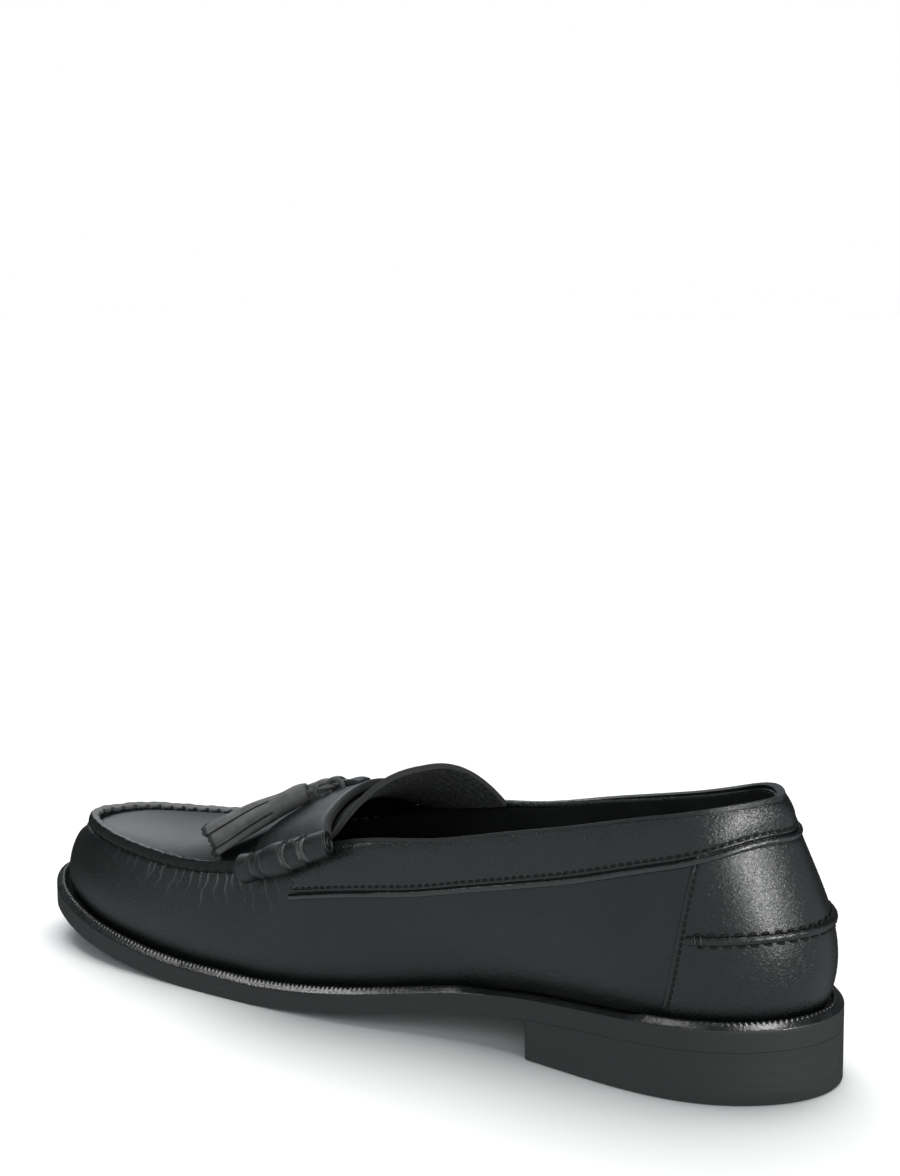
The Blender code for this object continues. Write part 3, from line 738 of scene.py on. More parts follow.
def leather(name, rough, grain, depth, cloud=16.0, gloss=0.50, tones=CALF, cut=RAW_EDGE, gathers=0.0):
    """Calf dressed black: pebbles and creases of grain, a cloudy polish, dull fibres on a raw edge, and hair
    creases where it is marked as gathered, their lines and the pleats' crests lightened as a painted
    highlight."""
    skin, shader, place = new_skin(name, gloss)
    flat = place.vector("MULTIPLY", GRAIN_STRETCH)
    pebbles = place.node("ShaderNodeTexVoronoi", {"feature": "F1"}, {"Vector": flat, "Scale": 1 / grain})
    creases = abs(clouds(flat, grain / 0.55, Distortion=1.2) - 0.5).between(0.0, 0.16)
    polish = clouds(place, cloud, 4.0)
    raw = place.marked("rim")
    tone = raw.blend(polish.between(0.3, 0.75).blend(*tones), cut)
    face = rough + (polish - 0.5) * 0.14 + pebbles * 0.06
    height = creases * 0.6 - pebbles * 0.5
    if gathers:
        upright = place.vector("MULTIPLY", HAIR_STRETCH)
        hair = abs(clouds(upright, 1.0, 4.0, Roughness=0.6, Distortion=0.7) - 0.5)
        hair = (1 - hair.between(*HAIR_THIN)) * place.marked("gather")
        # painted highlight: the hair creases and the pleats' crests are painted lighter, as if their ridges
        # caught the light
        crest_highlight = place.marked("crest") * polish.between(0.3, 0.6)
        tone = (hair * 0.25 + crest_highlight * 0.55).blend(tone, CREASE_HIGHLIGHT)
        height = height + hair * gathers
    tone.feed(shader, "Base Color")
    (face * (1 - raw) + raw * RAW_ROUGH).feed(shader, "Roughness")
    bump(place, height, depth, shader)
    return skin


calf = leather("black_calf", rough=0.34, grain=0.80, depth=0.060)
vamp_calf = leather("vamp_calf", rough=0.30, grain=0.80, depth=0.060, gathers=1.6)

fine_p = p_at(WALL_FINE_FROM)
coarse_half = np.linspace(0.0, fine_p, WALL_COARSE_STEPS)[:-1]
wall_half = np.concatenate([coarse_half, np.linspace(fine_p, 1.0, WALL_FINE_STEPS)])
wall_p = np.concatenate([wall_half, 2.0 - wall_half[-2:0:-1]])
wall_tall = down_wall(wall_p)[1][:, -1:]
fine_depth = np.tile(np.linspace(0.0, WALL_FINE_DEPTH, WALL_FINE_ROWS), (len(wall_p), 1))
low_depth = WALL_FINE_DEPTH + (wall_tall - WALL_FINE_DEPTH) * np.linspace(0.0, 1.0, WALL_LOW_ROWS + 1)[1:]
wall_depth = np.concatenate([fine_depth, low_depth], axis=1)
wall_v = below_top(wall_p, wall_depth)
wall_grid = wall(wall_p[:, None], wall_v)
wall_normal = wall_out(wall_p[:, None], wall_v)

# the seam's groove, the wall tucked in behind the lip, and the pleats below it
top_x = top_edge(wall_p)[:, :1]
below = wall_depth - (LIP_TALL - seam_lift(wall_p))[:, None]
relief = -SEAM_GROOVE * bell(below, SEAM_GROOVE_HALF)
relief = np.where(below < 0, relief - LIP_TUCK * (1 - bell(below, LIP_TUCK_HALF)), relief)
relief = relief * ramp(top_x, *SEAM_STARTS) - seam_in(wall_p)[:, None] * bell(wall_depth, SEAM_IN_DEPTH)
seam_run = along(wall_grid[:, PLEAT_ROW])
crest = np.zeros(relief.shape)
for x, length, height, lean in PLEATS:
    waver = PLEAT_WAVER * np.sin(PLEAT_WAVE * below + PLEAT_PHASE * x)
    fade = ramp(below, 0.0, PLEAT_START) * ramp(below, length, PLEAT_FULL * length)
    for start_p, way in ((p_at(x), 1.0), (2.0 - p_at(x), -1.0)):
        off = seam_run[:, None] - np.interp(start_p, wall_p, seam_run) - way * lean * below - waver
        fold = bell(off, PLEAT_HALF) - PLEAT_TROUGH * bell(off - PLEAT_TROUGH_OFF, PLEAT_HALF)
        relief += height * fold * fade**PLEAT_FADE
        crest = np.maximum(crest, bell(off, CREST_HALF) * fade)
wall_face = wall_grid + wall_normal * relief[..., None]
wall_back = (wall_grid - wall_normal * (WALL_THICK + LIP_TUCK))[:, ::WALL_BACK_EVERY]
vamp_loops = sheet_loops(wall_face, wall_back)
vamp = shoe_piece("vamp", [vamp_loops], vamp_calf, "upper_leather", "upper", closed=True)
# the gather and crest marks also place the painted highlight on the pleats
along_gather = ramp(top_x, *GATHER_ALONG[0]) * ramp(top_x, *GATHER_ALONG[1])
gather = along_gather * ramp(below, *GATHER_BELOW[0]) * ramp(below, *GATHER_BELOW[1])
for name, values in (("gather", gather), ("crest", crest * along_gather)):
    marked = np.zeros(vamp_loops.shape[:2])
    marked[:, 1 : 1 + values.shape[1]] = values
    mark(vamp, name, [marked])

# Lining: black lining leather inside the whole wall, cut to the same height as the wall and glued to it.
# Its upper edge is covered by the collar's facing, and its lower edge runs down to the insole.
LINING_OUT = -2.55
LINING_THICK = 0.6
LINING_STEPS = 220
LINING_ROWS = 22
LINING_SPAN = (0.02, 0.97)
LINING_RIM = 0.1

lining_p = loop_of(LINING_STEPS)[:, None]
lining_v = np.linspace(*LINING_SPAN, LINING_ROWS)[None, :]
lining_face = off_wall(lining_p, lining_v, LINING_OUT)
lining_back = off_wall(lining_p, lining_v, LINING_OUT - LINING_THICK)
lining_loops = sheet_loops(lining_face, lining_back, LINING_RIM)
shoe_piece("lining", [lining_loops], lining_leather, "lining", closed=True)

# Counter: a second piece of calf wrapped round the heel over the wall, its front edges folded under.
# A row of lock stitches holds each front edge; the lower edge is lasted under with the wall.
COUNTER_THICK = 0.85
COUNTER_SEAM = (-0.033, -0.075, 0.2365)  # the stitch line's p, as a parabola in v
COUNTER_EDGE = 0.0066
COUNTER_FOOT = 0.012
COUNTER_TOP_P = 0.1
COUNTER_TOP_DEPTH = 13.3
COUNTER_OVER = 0.03
COUNTER_ROWS = 60
COUNTER_STEP = 0.8
COUNTER_FINE = 1.6
COUNTER_ROUND = 0.9
COUNTER_PRESS = 0.36
COUNTER_PRESS_AT = 1.8
COUNTER_PRESS_HALF = 0.5
COUNTER_SKIVED = 0.15
COUNTER_SUNK = 0.05
COUNTER_BACK = -0.5
COUNTER_MEASURE_V = 0.4
COUNTER_STITCH = (2.1, 1.55, 0.33)  # pitch, length and half thickness
COUNTER_STITCH_OUT = 0.78 * COUNTER_THICK
COUNTER_STITCH_SPAN = (0.04, -0.01)  # from the foot, and from the counter's top
SEAM_SAMPLES = 90
MEASURE_STEPS = 400
SPACED_ENDS = np.array([0.0, 0.05, 0.15, 0.3, 0.5, 0.75, 1.0])
THREAD = ((0.0050, 0.0050, 0.0052, 1.0), (0.0120, 0.0120, 0.0124, 1.0))
THREAD_SIDES = 8
STITCH_STEPS = 7
STITCH_PROUD = 0.75
STITCH_DIVE = 1.9
STITCH_BLUNT = 0.04


def rounded(distance, radius):
    """0 at an edge, 1 from radius inward, along a quarter circle."""
    return np.sqrt(1 - (1 - np.clip(distance / radius, 0.0, 1.0)) ** 2)


def spaced(total, step, fine):
    """Distances from 0 to total, close together at both ends."""
    ends = SPACED_ENDS * fine
    middle = np.linspace(fine, total - fine, int((total - 2 * fine) / step) + 2)[1:-1]
    return np.concatenate([ends, middle, total - ends[::-1]])


def rings_along(path, wide, high, sides, lift):
    """Rings round each point of a path: lift is the direction of a ring's height."""
    heading = np.gradient(path, axis=0)
    side = unit(np.cross(unit(heading), lift))
    rise = unit(np.cross(side, heading))
    angle = np.arange(sides) * 2 * np.pi / sides
    across = np.broadcast_to(wide, len(path))[:, None] * np.cos(angle)
    tall = np.broadcast_to(high, len(path))[:, None] * np.sin(angle)
    return path[:, None] + across[..., None] * side[:, None] + tall[..., None] * rise[:, None]


def at_run(values, run, wanted):
    return np.stack([np.interp(wanted, run, values[:, k]) for k in range(values.shape[1])], -1)


def stitches(path, out, pitch, length, radius, slant=0.0):
    """Row of stitches along a path: each is a short roll of thread that dives in at both ends."""
    run = along(path)
    share = np.linspace(-1.0, 1.0, STITCH_STEPS)
    thick = radius * np.sqrt(1 + STITCH_BLUNT - share**4)
    proud = radius * (STITCH_PROUD - STITCH_DIVE * share**4)
    rows = []
    for centre in np.arange(pitch * 0.5, run[-1] - pitch * 0.3, pitch):
        spots = centre + share * length / 2
        lift = unit(at_run(out, run, spots))
        middle = at_run(path, run, spots)
        across = unit(np.cross(lift, np.gradient(middle, axis=0)))
        middle = middle + lift * proud[:, None] + across * (slant * share)[:, None]
        rows.append(rings_along(middle, thick, thick, THREAD_SIDES, lift))
    return rows


def wall_stitches(p, v, out, *sizes):
    """Row of stitches that far out from the wall."""
    return stitches(off_wall(p, v, out), wall_out(p, v), *sizes)


def twisted(name, gloss, tones, lump, rough, depth):
    """Twisted thread: its strands are dark and light by turns, and stand out."""
    skin, shader, place = new_skin(name, gloss)
    strands = clouds(place, lump, 2.0)
    strands.blend(*tones).feed(shader, "Base Color")
    (rough + strands * 0.25).feed(shader, "Roughness")
    bump(place, strands, depth, shader)
    return skin


thread = twisted("waxed_thread", 0.20, THREAD, lump=0.35, rough=0.55, depth=0.08)
heel_calf = leather("heel_calf", rough=0.25, grain=0.75, depth=0.048, cloud=14.0, gloss=0.52)

counter_top = below_top(np.array([COUNTER_TOP_P]), [COUNTER_TOP_DEPTH])[0]
rows_v = np.linspace(COUNTER_FOOT, counter_top + COUNTER_OVER, COUNTER_ROWS)
edge_p = np.polyval(COUNTER_SEAM, rows_v) + COUNTER_EDGE
counter_run = along(wall(np.linspace(-edge_p[0], edge_p[0], MEASURE_STEPS), COUNTER_MEASURE_V))[-1]
distance = spaced(counter_run, COUNTER_STEP, COUNTER_FINE)
counter_p = (distance / counter_run * 2 - 1)[:, None] * edge_p
from_edge = np.minimum(distance, counter_run - distance)
swell = rounded(from_edge, COUNTER_ROUND)
swell = swell - COUNTER_PRESS * bell(from_edge - COUNTER_PRESS_AT, COUNTER_PRESS_HALF)
skived = np.clip((rows_v[-1] - rows_v) / COUNTER_OVER, COUNTER_SKIVED, 1.0)
counter_face = off_wall(counter_p, rows_v, COUNTER_THICK * swell[:, None] * skived - COUNTER_SUNK)
counter_loops = sheet_loops(counter_face, off_wall(counter_p, rows_v, COUNTER_BACK))
shoe_piece("counter", [counter_loops], heel_calf, "upper_leather")

stitch_v = np.linspace(COUNTER_STITCH_SPAN[0], counter_top + COUNTER_STITCH_SPAN[1], SEAM_SAMPLES)
counter_stitches = []
for side in (1.0, -1.0):
    stitch_p = side * np.polyval(COUNTER_SEAM, stitch_v)
    counter_stitches += wall_stitches(stitch_p, stitch_v, COUNTER_STITCH_OUT, *COUNTER_STITCH)
shoe_piece("counter_thread", counter_stitches, thread, "upper_leather")

# Collar: a band of soft calf round the foot opening, folded over the top edge and stitched through near its
# lower edge. A thin corded piping is caught under that edge.
COLLAR_DEPTH = (  # x along the top edge, and depth of the collar's stitch line below it
    (17.5, 9.6), (19, 9.4), (29, 10.7), (44, 12.3), (60, 13.0), (78, 13.5), (96, 13.8), (115, 13.9),
    (128, 14.7), (140, 15.1), (152, 14.6), (163, 13.2), (172, 11.9),
)
COLLAR_MEASURE_STEPS = 800
BAND_FRONT = 0.5405
BAND_THICK = 0.9
BAND_BELOW_STITCH = 1.45
BAND_STEP = 1.15
BAND_FINE = 3.0
BAND_CORNER = 2.6
BAND_EDGE_ROUND = 0.85
BAND_END_ROUND = 0.9
BAND_PRESS = 0.30
BAND_PRESS_HALF = 0.42
BAND_PRESS_FROM = 1.5
BAND_SOFT = 0.35
BAND_SOFT_OVER = 3.0
BAND_SHOULDER = 1.5
BAND_RISE = (  # x, and how far the fold stands over the wall's top edge on the inner and the outer side
    (17.5, -1.3, -1.3), (26, -1.1, -1.1), (45, -0.6, -0.6), (60, -0.3, -0.4), (80, -0.4, -0.3),
    (95, -0.8, 0.1), (115, -1.1, 0.5), (145, -1.4, 0.4), (160, -1.6, -0.4),
)
BAND_ROWS = np.array(  # height over the lower edge, drawn out above the first few
    [0.0, 0.12, 0.3, 0.55, 0.85, 1.1, 1.3, 1.5, 1.7, 1.95, 2.3, 2.8, 3.5, 4.4, 5.5, 6.8, 8.0, 9.0]
)
BAND_EVEN = 3.5
BAND_TUCK = 0.9
BAND_TUCK_DEPTH = 5.0
BAND_SUNK = 0.1
BAND_BACK = -0.4
FOLD_ROWS = 13
FOLD_ROUND = 0.8
FOLD_HIDDEN = (0.55, 0.5)
FACING_DEPTH = 10.5
FACING_ROWS = 9
FACING_OUT = -3.0
FACING_FOOT = -2.9
FACING_ROUND = 0.6
FACING_BACK = -2.2
COLLAR_STITCH = (2.6, 1.9, 0.30, 0.12)  # pitch, length, half thickness and slant
COLLAR_STITCH_OUT = BAND_THICK - 0.36
COLLAR_STITCH_END = 1.6
COLLAR_STITCH_STEP = 0.5
FRONT_STITCH_END = 1.7
FRONT_STITCH_UP = (-0.6, -9.0)
FRONT_STITCH_STEPS = 40
PIPING_BELOW_STITCH = 2.55
PIPING_RADIUS = 1.0
PIPING_SIDES = 14
PIPING_OUT = 0.25
PIPING_COUNTER = (0.20, 0.11)  # p where the piping starts to climb the counter, and where it is on it
PIPING_CLIMB = COUNTER_THICK * 0.5

band_leather = leather("collar_calf", rough=0.24, grain=0.95, depth=0.070, cloud=12.0, gloss=0.56)
piping_leather = leather("piping_calf", rough=0.20, grain=0.80, depth=0.050, cloud=9.0, gloss=0.85)


def collar_v(p, lower=0.0):
    """The v of the collar's stitch line, or of a line that many millimetres below it."""
    return below_top(p, curve(top_edge(p)[..., 0], COLLAR_DEPTH) + lower)


coarse_p = np.linspace(BAND_FRONT, -BAND_FRONT, COLLAR_MEASURE_STEPS)
coarse_run = along(wall(coarse_p, collar_v(coarse_p)))
collar_long = coarse_run[-1]
band_distance = spaced(collar_long, BAND_STEP, BAND_FINE)
band_p = np.interp(band_distance, coarse_run, coarse_p)
band_x = top_edge(band_p)[:, 0]
from_end = np.minimum(band_distance, collar_long - band_distance)
corner = BAND_CORNER * (1 - rounded(from_end, BAND_CORNER))
lower = curve(band_x, COLLAR_DEPTH) + BAND_BELOW_STITCH - corner
tall = (lower - BAND_SHOULDER)[:, None]
drawn_out = (tall - BAND_EVEN) / (BAND_ROWS[-1] - BAND_EVEN)
band_up = np.minimum(BAND_ROWS, BAND_EVEN) + np.maximum(BAND_ROWS - BAND_EVEN, 0.0) * drawn_out
band_v = below_top(band_p, lower[:, None] - band_up)
end_round = rounded(from_end, BAND_END_ROUND)[:, None]
stitch_press = bell(band_up - BAND_BELOW_STITCH, BAND_PRESS_HALF)
front_press = bell(from_end[:, None] - FRONT_STITCH_END, BAND_PRESS_HALF) * (band_up > BAND_PRESS_FROM)
profile = rounded(band_up, BAND_EDGE_ROUND) * end_round - BAND_PRESS * (stitch_press + front_press)
puff = BAND_SOFT * ramp(band_up, BAND_BELOW_STITCH, BAND_BELOW_STITCH + BAND_SOFT_OVER) * end_round
puff = puff - BAND_TUCK * ramp(tall - band_up, BAND_TUCK_DEPTH, 0.0) ** 2
band_outer = off_wall(band_p[:, None], band_v, BAND_THICK * profile + puff - BAND_SUNK)
band_inner = off_wall(band_p[:, None], band_v, BAND_BACK)

fold_v = below_top(band_p, np.full(len(band_p), BAND_SHOULDER))
fold_base = wall(band_p, fold_v)[:, None]
fold_out = wall_out(band_p, fold_v)[:, None]
fold_up = wall_up(band_p, fold_v)[:, None]
band_rise = np.where(band_p > 0, curve(band_x, BAND_RISE), curve(band_x, BAND_RISE, 2))[:, None]
outer_reach = (BAND_THICK + BAND_SOFT) * end_round - BAND_TUCK - BAND_SUNK
turn = np.linspace(0.0, np.pi, FOLD_ROWS)[1:-1]


def fold(half_scale, top_scale):
    """Round of the fold over the top edge, whole or shrunk for its hidden inner face."""
    out = (outer_reach + FACING_OUT) / 2 + np.cos(turn) * (outer_reach - FACING_OUT) / 2 * half_scale
    up = np.sin(turn) ** FOLD_ROUND * (BAND_SHOULDER + band_rise) * top_scale
    return fold_base + fold_out * out[..., None] + fold_up * up[..., None]


facing_depth = np.linspace(BAND_SHOULDER, FACING_DEPTH, FACING_ROWS) + np.zeros((len(band_p), 1))
facing_v = below_top(band_p, facing_depth)
facing_edge = rounded(FACING_DEPTH - facing_depth, FACING_ROUND)
facing_outer = off_wall(band_p[:, None], facing_v, FACING_FOOT + (FACING_OUT - FACING_FOOT) * facing_edge)
facing_inner = off_wall(band_p[:, None], facing_v, FACING_BACK)
over = np.concatenate([band_outer, fold(1.0, 1.0), facing_outer], axis=1)
inside = np.concatenate([band_inner, fold(*FOLD_HIDDEN), facing_inner], axis=1)
shoe_piece("collar_band", [sheet_loops(over, inside)], band_leather, "upper_leather")

stitch_run = np.arange(COLLAR_STITCH_END, collar_long - COLLAR_STITCH_END, COLLAR_STITCH_STEP)
stitch_p = np.interp(stitch_run, coarse_run, coarse_p)
collar_stitches = wall_stitches(stitch_p, collar_v(stitch_p), COLLAR_STITCH_OUT, *COLLAR_STITCH)
for front in (FRONT_STITCH_END, collar_long - FRONT_STITCH_END):
    front_p = np.full(FRONT_STITCH_STEPS, np.interp(front, coarse_run, coarse_p))
    front_v = collar_v(front_p, np.linspace(*FRONT_STITCH_UP, FRONT_STITCH_STEPS))
    collar_stitches += wall_stitches(front_p, front_v, COLLAR_STITCH_OUT, *COLLAR_STITCH)
shoe_piece("collar_thread", collar_stitches, thread, "upper_leather")

piping_p = np.interp(np.arange(0.0, collar_long, 1.0), coarse_run, coarse_p)
piping_v = collar_v(piping_p, PIPING_BELOW_STITCH)
piping_out = PIPING_OUT + ramp(np.abs(piping_p), *PIPING_COUNTER) * PIPING_CLIMB
piping_path = off_wall(piping_p, piping_v, piping_out)
piping_lift = wall_out(piping_p, piping_v)
piping_rings = rings_along(piping_path, PIPING_RADIUS, PIPING_RADIUS, PIPING_SIDES, piping_lift)
shoe_piece("collar_piping", [piping_rings], piping_leather, "upper_leather")

# Apron: the flat piece of calf over the toes, cut to the shape of the last's top and sewn into the wall.
# It sits lower than the seam's lip at the toe and rises to the strap.
CROWN = (  # x, and how far the apron's middle stands over its edges
    (150, 12.0), (180, 12.5), (199, 11.4), (215, 8.9), (230, 6.0), (250, 3.4), (270, 1.7), (283, 0.6),
    (290, 0.0),
)
APRON_DROP = (  # x, and how far its edge lies below the wall's top edge
    (165, 0.0), (178, 0.2), (190, 1.2), (203, 2.0), (235, 2.3), (289, 1.6),
)
APRON_SINK = 1.0
APRON_SINK_FROM = 0.6
APRON_NEAR = 1e-2
APRON_BACK = 169.5
APRON_TIP = 289.2
APRON_ROWS = 120
APRON_COLUMNS = 84
APRON_THICK = 1.4


def points(x, y, z):
    return np.stack(np.broadcast_arrays(x, y, z), -1)


def apron(x, side):
    """Top face of the apron at x: side is 1 at the inner seam and -1 at the outer one."""
    ends = round_ends(x, TOP_BACK, TOP_FRONT)
    y = curve(x, TOP) + half_width(x, *TOP_PLAN) * ends * side
    z = curve(x, TOP, 3) + curve(x, TOP, 4) * ends * side - curve(x, APRON_DROP)
    z = z + curve(x, CROWN) * (1 - side**2) - APRON_SINK * ramp(side, APRON_SINK_FROM, 1.0) ** 2
    return points(x, y, z)


def apron_height(x, y):
    reach = half_width(x, *TOP_PLAN) * round_ends(x, TOP_BACK, TOP_FRONT)
    return apron(x, (y - curve(x, TOP)) / reach)[..., 2]


def apron_out(x, y):
    """Direction straight out of the apron."""
    slope_x = (apron_height(x + APRON_NEAR, y) - apron_height(x - APRON_NEAR, y)) / (2 * APRON_NEAR)
    slope_y = (apron_height(x, y + APRON_NEAR) - apron_height(x, y - APRON_NEAR)) / (2 * APRON_NEAR)
    return unit(np.stack([-slope_x, -slope_y, np.ones_like(slope_x)], -1))


apron_leather = leather("apron_calf", rough=0.38, grain=0.70, depth=0.030, cloud=20.0)
apron_x = APRON_BACK + (APRON_TIP - APRON_BACK) * np.sin(np.linspace(0.0, np.pi / 2, APRON_ROWS))
apron_face = apron(apron_x[:, None], np.linspace(1.0, -1.0, APRON_COLUMNS)[None, :])
apron_loops = sheet_loops(apron_face, apron_face - UP * APRON_THICK)
shoe_piece("apron", [apron_loops], apron_leather, "upper_leather")

# Apron seam: the edges of wall and apron stood up together and sewn through by hand, which leaves a raised
# lip with its raw cut edge on top. The lip is painted darker than the calf as painted shade, and its cut edge
# pale, partly as a painted highlight. The thread shows as stitches at the foot of the lip, inside and out.
LIP_BACK = 184.0
LIP_STEPS = 760
LIP_SECTION = (  # distance out from the seam and height over the lip's top
    (0.6, -4.3), (1.25, -3.4), (1.5, -2.6), (1.25, -1.7), (0.85, -0.75), (0.4, -0.1), (-0.1, 0.05),
    (-0.9, -0.22), (-1.6, -0.5), (-1.95, -1.2), (-1.85, -2.6), (-1.3, -3.8),
)
LIP_ROUND = 3
LIP_FACE = ((0.6, 1.8), (-3.6, -2.6))  # out and up where the outer face starts and is full
LIP_INNER = (-1.2, -2.0)
LIP_INNER_TOP = -0.6
LIP_RAW = ((0.1, -0.2), (-2.1, -1.9))  # out and up where the raw edge, pale partly as a painted highlight, starts and is full
LIP_WAVES = ((0.10, 0.61, 0.0), (0.08, 1.37, 1.0))  # height, turn to a millimetre, and start
LIP_WAVES_FROM = -1.5
LIP_PINCH = 0.22
LIP_PINCH_SHARP = 8
LIP_LUMP = 0.5
LIP_DENT = 1.3
# painted shade: the lip's calf is darker than the wall's and apron's, for the shade on its face; its cut edge
# is pale, partly its own colour and partly a painted highlight along the top
LIP = ((0.0045, 0.005, 0.0053, 1.0), CALF_BLACK)
LIP_CUT_AND_HIGHLIGHT = (0.13, 0.131, 0.132, 1.0)
SEAM_PITCH = 4.7
OUTER_STITCH = (SEAM_PITCH, 3.6, 0.42)
OUTER_ROW_BELOW = LIP_TALL + 0.15
OUTER_ROW_IN = 0.25
OUTER_ROW_SHARE = 0.9
INNER_STITCH = (SEAM_PITCH, 3.4, 0.36)
INNER_ROW_IN = 2.1
INNER_ROW_DROP = 3.4
INNER_ROW_OVER = 0.25
INNER_ROW_CLEAR = 0.3
INNER_ROW_LEAN = 0.8


def spline_through(rows, spots):
    """Smooth line through rows of numbers, read at spots that count from 0 at the first row."""
    knots = np.arange(len(rows), dtype=float)
    return np.stack([spline(spots, knots, column) for column in np.transpose(rows)], -1)


lip_leather = leather("lip_calf", 0.40, 0.80, 0.07, cloud=7.0, gloss=0.30, tones=LIP, cut=LIP_CUT_AND_HIGHLIGHT)

lip_p = np.linspace(p_at(LIP_BACK), 2.0 - p_at(LIP_BACK), LIP_STEPS)
seam = top_edge(lip_p) + UP * seam_lift(lip_p)[:, None]
ahead = np.gradient(seam[:, :2], axis=0)
seam_out = unit(np.stack([-ahead[:, 1], ahead[:, 0], np.zeros(LIP_STEPS)], -1))
seam = seam - seam_out * seam_in(lip_p)[:, None]
lip_run = along(seam)[:, None]
pinch = np.cos(np.pi * lip_run / SEAM_PITCH) ** LIP_PINCH_SHARP
waver = sum(height * np.sin(lip_run * turns + start) for height, turns, start in LIP_WAVES)
section = spline_through(LIP_SECTION + LIP_SECTION[:1], np.arange(len(LIP_SECTION) * LIP_ROUND) / LIP_ROUND)
out, up = section.T
face_share = ramp(out, *LIP_FACE[0]) * ramp(up, *LIP_FACE[1])
inner_share = ramp(out, *LIP_INNER) * (up < LIP_INNER_TOP)
lip_out = out - LIP_PINCH * pinch * face_share + (LIP_DENT * pinch - LIP_LUMP) * inner_share
lip_up = up + waver * (up > LIP_WAVES_FROM)
lip_body = seam[:, None] + seam_out[:, None] * lip_out[..., None] + UP * lip_up[..., None]
lip_raw = np.tile(ramp(out, *LIP_RAW[0]) * ramp(up, *LIP_RAW[1]), (LIP_STEPS, 1))
shoe_piece("apron_lip", [lip_body], lip_leather, "upper_leather", rims=[lip_raw])

outer_v = below_top(lip_p, OUTER_ROW_BELOW - seam_lift(lip_p))
outer_in = OUTER_ROW_IN + OUTER_ROW_SHARE * seam_in(lip_p)
apron_stitches = wall_stitches(lip_p, outer_v, -outer_in, *OUTER_STITCH)
inner_row = seam - seam_out * INNER_ROW_IN
inner_row[:, 2] = np.maximum(apron_height(inner_row[:, 0], inner_row[:, 1]), seam[:, 2] - INNER_ROW_DROP)
inner_row = inner_row + UP * INNER_ROW_OVER - seam_out * INNER_ROW_CLEAR
apron_stitches += stitches(inner_row, unit(UP * INNER_ROW_LEAN - seam_out), *INNER_STITCH)
shoe_piece("apron_thread", apron_stitches, thread, "upper_leather")

# Tongue: calf backed with lining leather, sewn to the apron's rear edge under the strap and arched up free.
# Its rear edge is cut raw, and the backing shows fine wrinkles where it bends. The backing is painted far
# lighter than the lining leather it is, as painted light on its wrinkles.
TONGUE_FRONT = (172.0, 163.0)
TONGUE_BACK = 159.9
TONGUE_MIDDLE = 160.2
TONGUE_SUNK = 1.0
TONGUE_THICK = 2.0
TONGUE_ROWS = 84
TONGUE_COLUMNS = 110
TONGUE_HALF = 29.2
TONGUE_SHIFT = -1.0
TONGUE_SIDE_Z = 57.4
TONGUE_SIDE_TILT = -1.0
TONGUE_RISE = 19.2
TONGUE_ROUND = 2.35
TONGUE_SWEEP = 1.5
TONGUE_RUN = 15.5
TONGUE_RUN_TILT = (-16.5, -10.5)
TONGUE_FAR_RUN = 3.0
TONGUE_FAR_RISE = 1.2
TONGUE_WRINKLE = 0.16
TONGUE_WRINKLE_TURNS = 88.0
TONGUE_WRINKLE_WAVES = ((2.6, 5.0), (1.1, 17.0))
TONGUE_RIM = 0.35
TONGUE_RAW = (0.5, 1.0, 0.6)
# painted light: the backing is far lighter than the lining leather, to show light on its wrinkles
TONGUE_BACKING = ((0.045, 0.0455, 0.046, 1.0), (0.120, 0.121, 0.122, 1.0))

backing, shader, place = new_skin("tongue_backing", 0.50)
fuzz = clouds(place, 1.2, 4.0)
fuzz.between(0.35, 0.7).blend(*TONGUE_BACKING).feed(shader, "Base Color")
(0.75 - fuzz * 0.2).feed(shader, "Roughness")
bump(place, fuzz, 0.15, shader)

blend = np.linspace(0.0, 1.0, TONGUE_ROWS)[None, :]
part = np.linspace(1.0, -1.0, TONGUE_COLUMNS)[:, None]
far = np.maximum(-part, 0.0) ** 2
front_x = TONGUE_FRONT[0] + (TONGUE_FRONT[1] - TONGUE_FRONT[0]) * part**2
front_y = curve(np.array(TONGUE_MIDDLE), TOP) + TONGUE_HALF * part
front_z = apron_height(front_x, front_y) - TONGUE_SUNK
run_tilt = np.where(part > 0, *TONGUE_RUN_TILT)
back_x = TONGUE_BACK - (TONGUE_RUN + run_tilt * part + TONGUE_FAR_RUN * far)
back_z = TONGUE_SIDE_Z + TONGUE_SIDE_TILT * part + TONGUE_FAR_RISE * far
back_z = back_z + TONGUE_RISE * (1 - np.abs(part) ** TONGUE_ROUND)
tongue_x = front_x + (back_x - front_x) * blend
tongue_y = front_y + TONGUE_SHIFT * blend
tongue_z = front_z + (back_z - front_z) * blend**TONGUE_SWEEP
tongue_face = points(tongue_x, tongue_y, tongue_z)
tongue_out = unit(np.cross(np.gradient(tongue_face, axis=1), np.gradient(tongue_face, axis=0)))
tongue_out *= np.sign(tongue_out[..., 2:])
ripple = sum(size * np.sin(part * turns) for size, turns in TONGUE_WRINKLE_WAVES)
ripple = np.sin(blend * TONGUE_WRINKLE_TURNS + ripple) * np.sin(np.pi * blend) * np.cos(part * np.pi / 2)
tongue_under = tongue_face - tongue_out * (TONGUE_THICK + TONGUE_WRINKLE * ripple)[..., None]
tongue_loops = sheet_loops(tongue_face, tongue_under, TONGUE_RIM)
tongue_raw = np.zeros(tongue_loops.shape[:2])
tongue_raw[:, TONGUE_ROWS : TONGUE_ROWS + 3] = TONGUE_RAW
tongue = shoe_piece("tongue", [tongue_loops], calf, "upper_leather", "tongue", rims=[tongue_raw])
second_skin(tongue, backing, tongue_loops.shape[1], TONGUE_ROWS + 2, tongue_loops.shape[1])

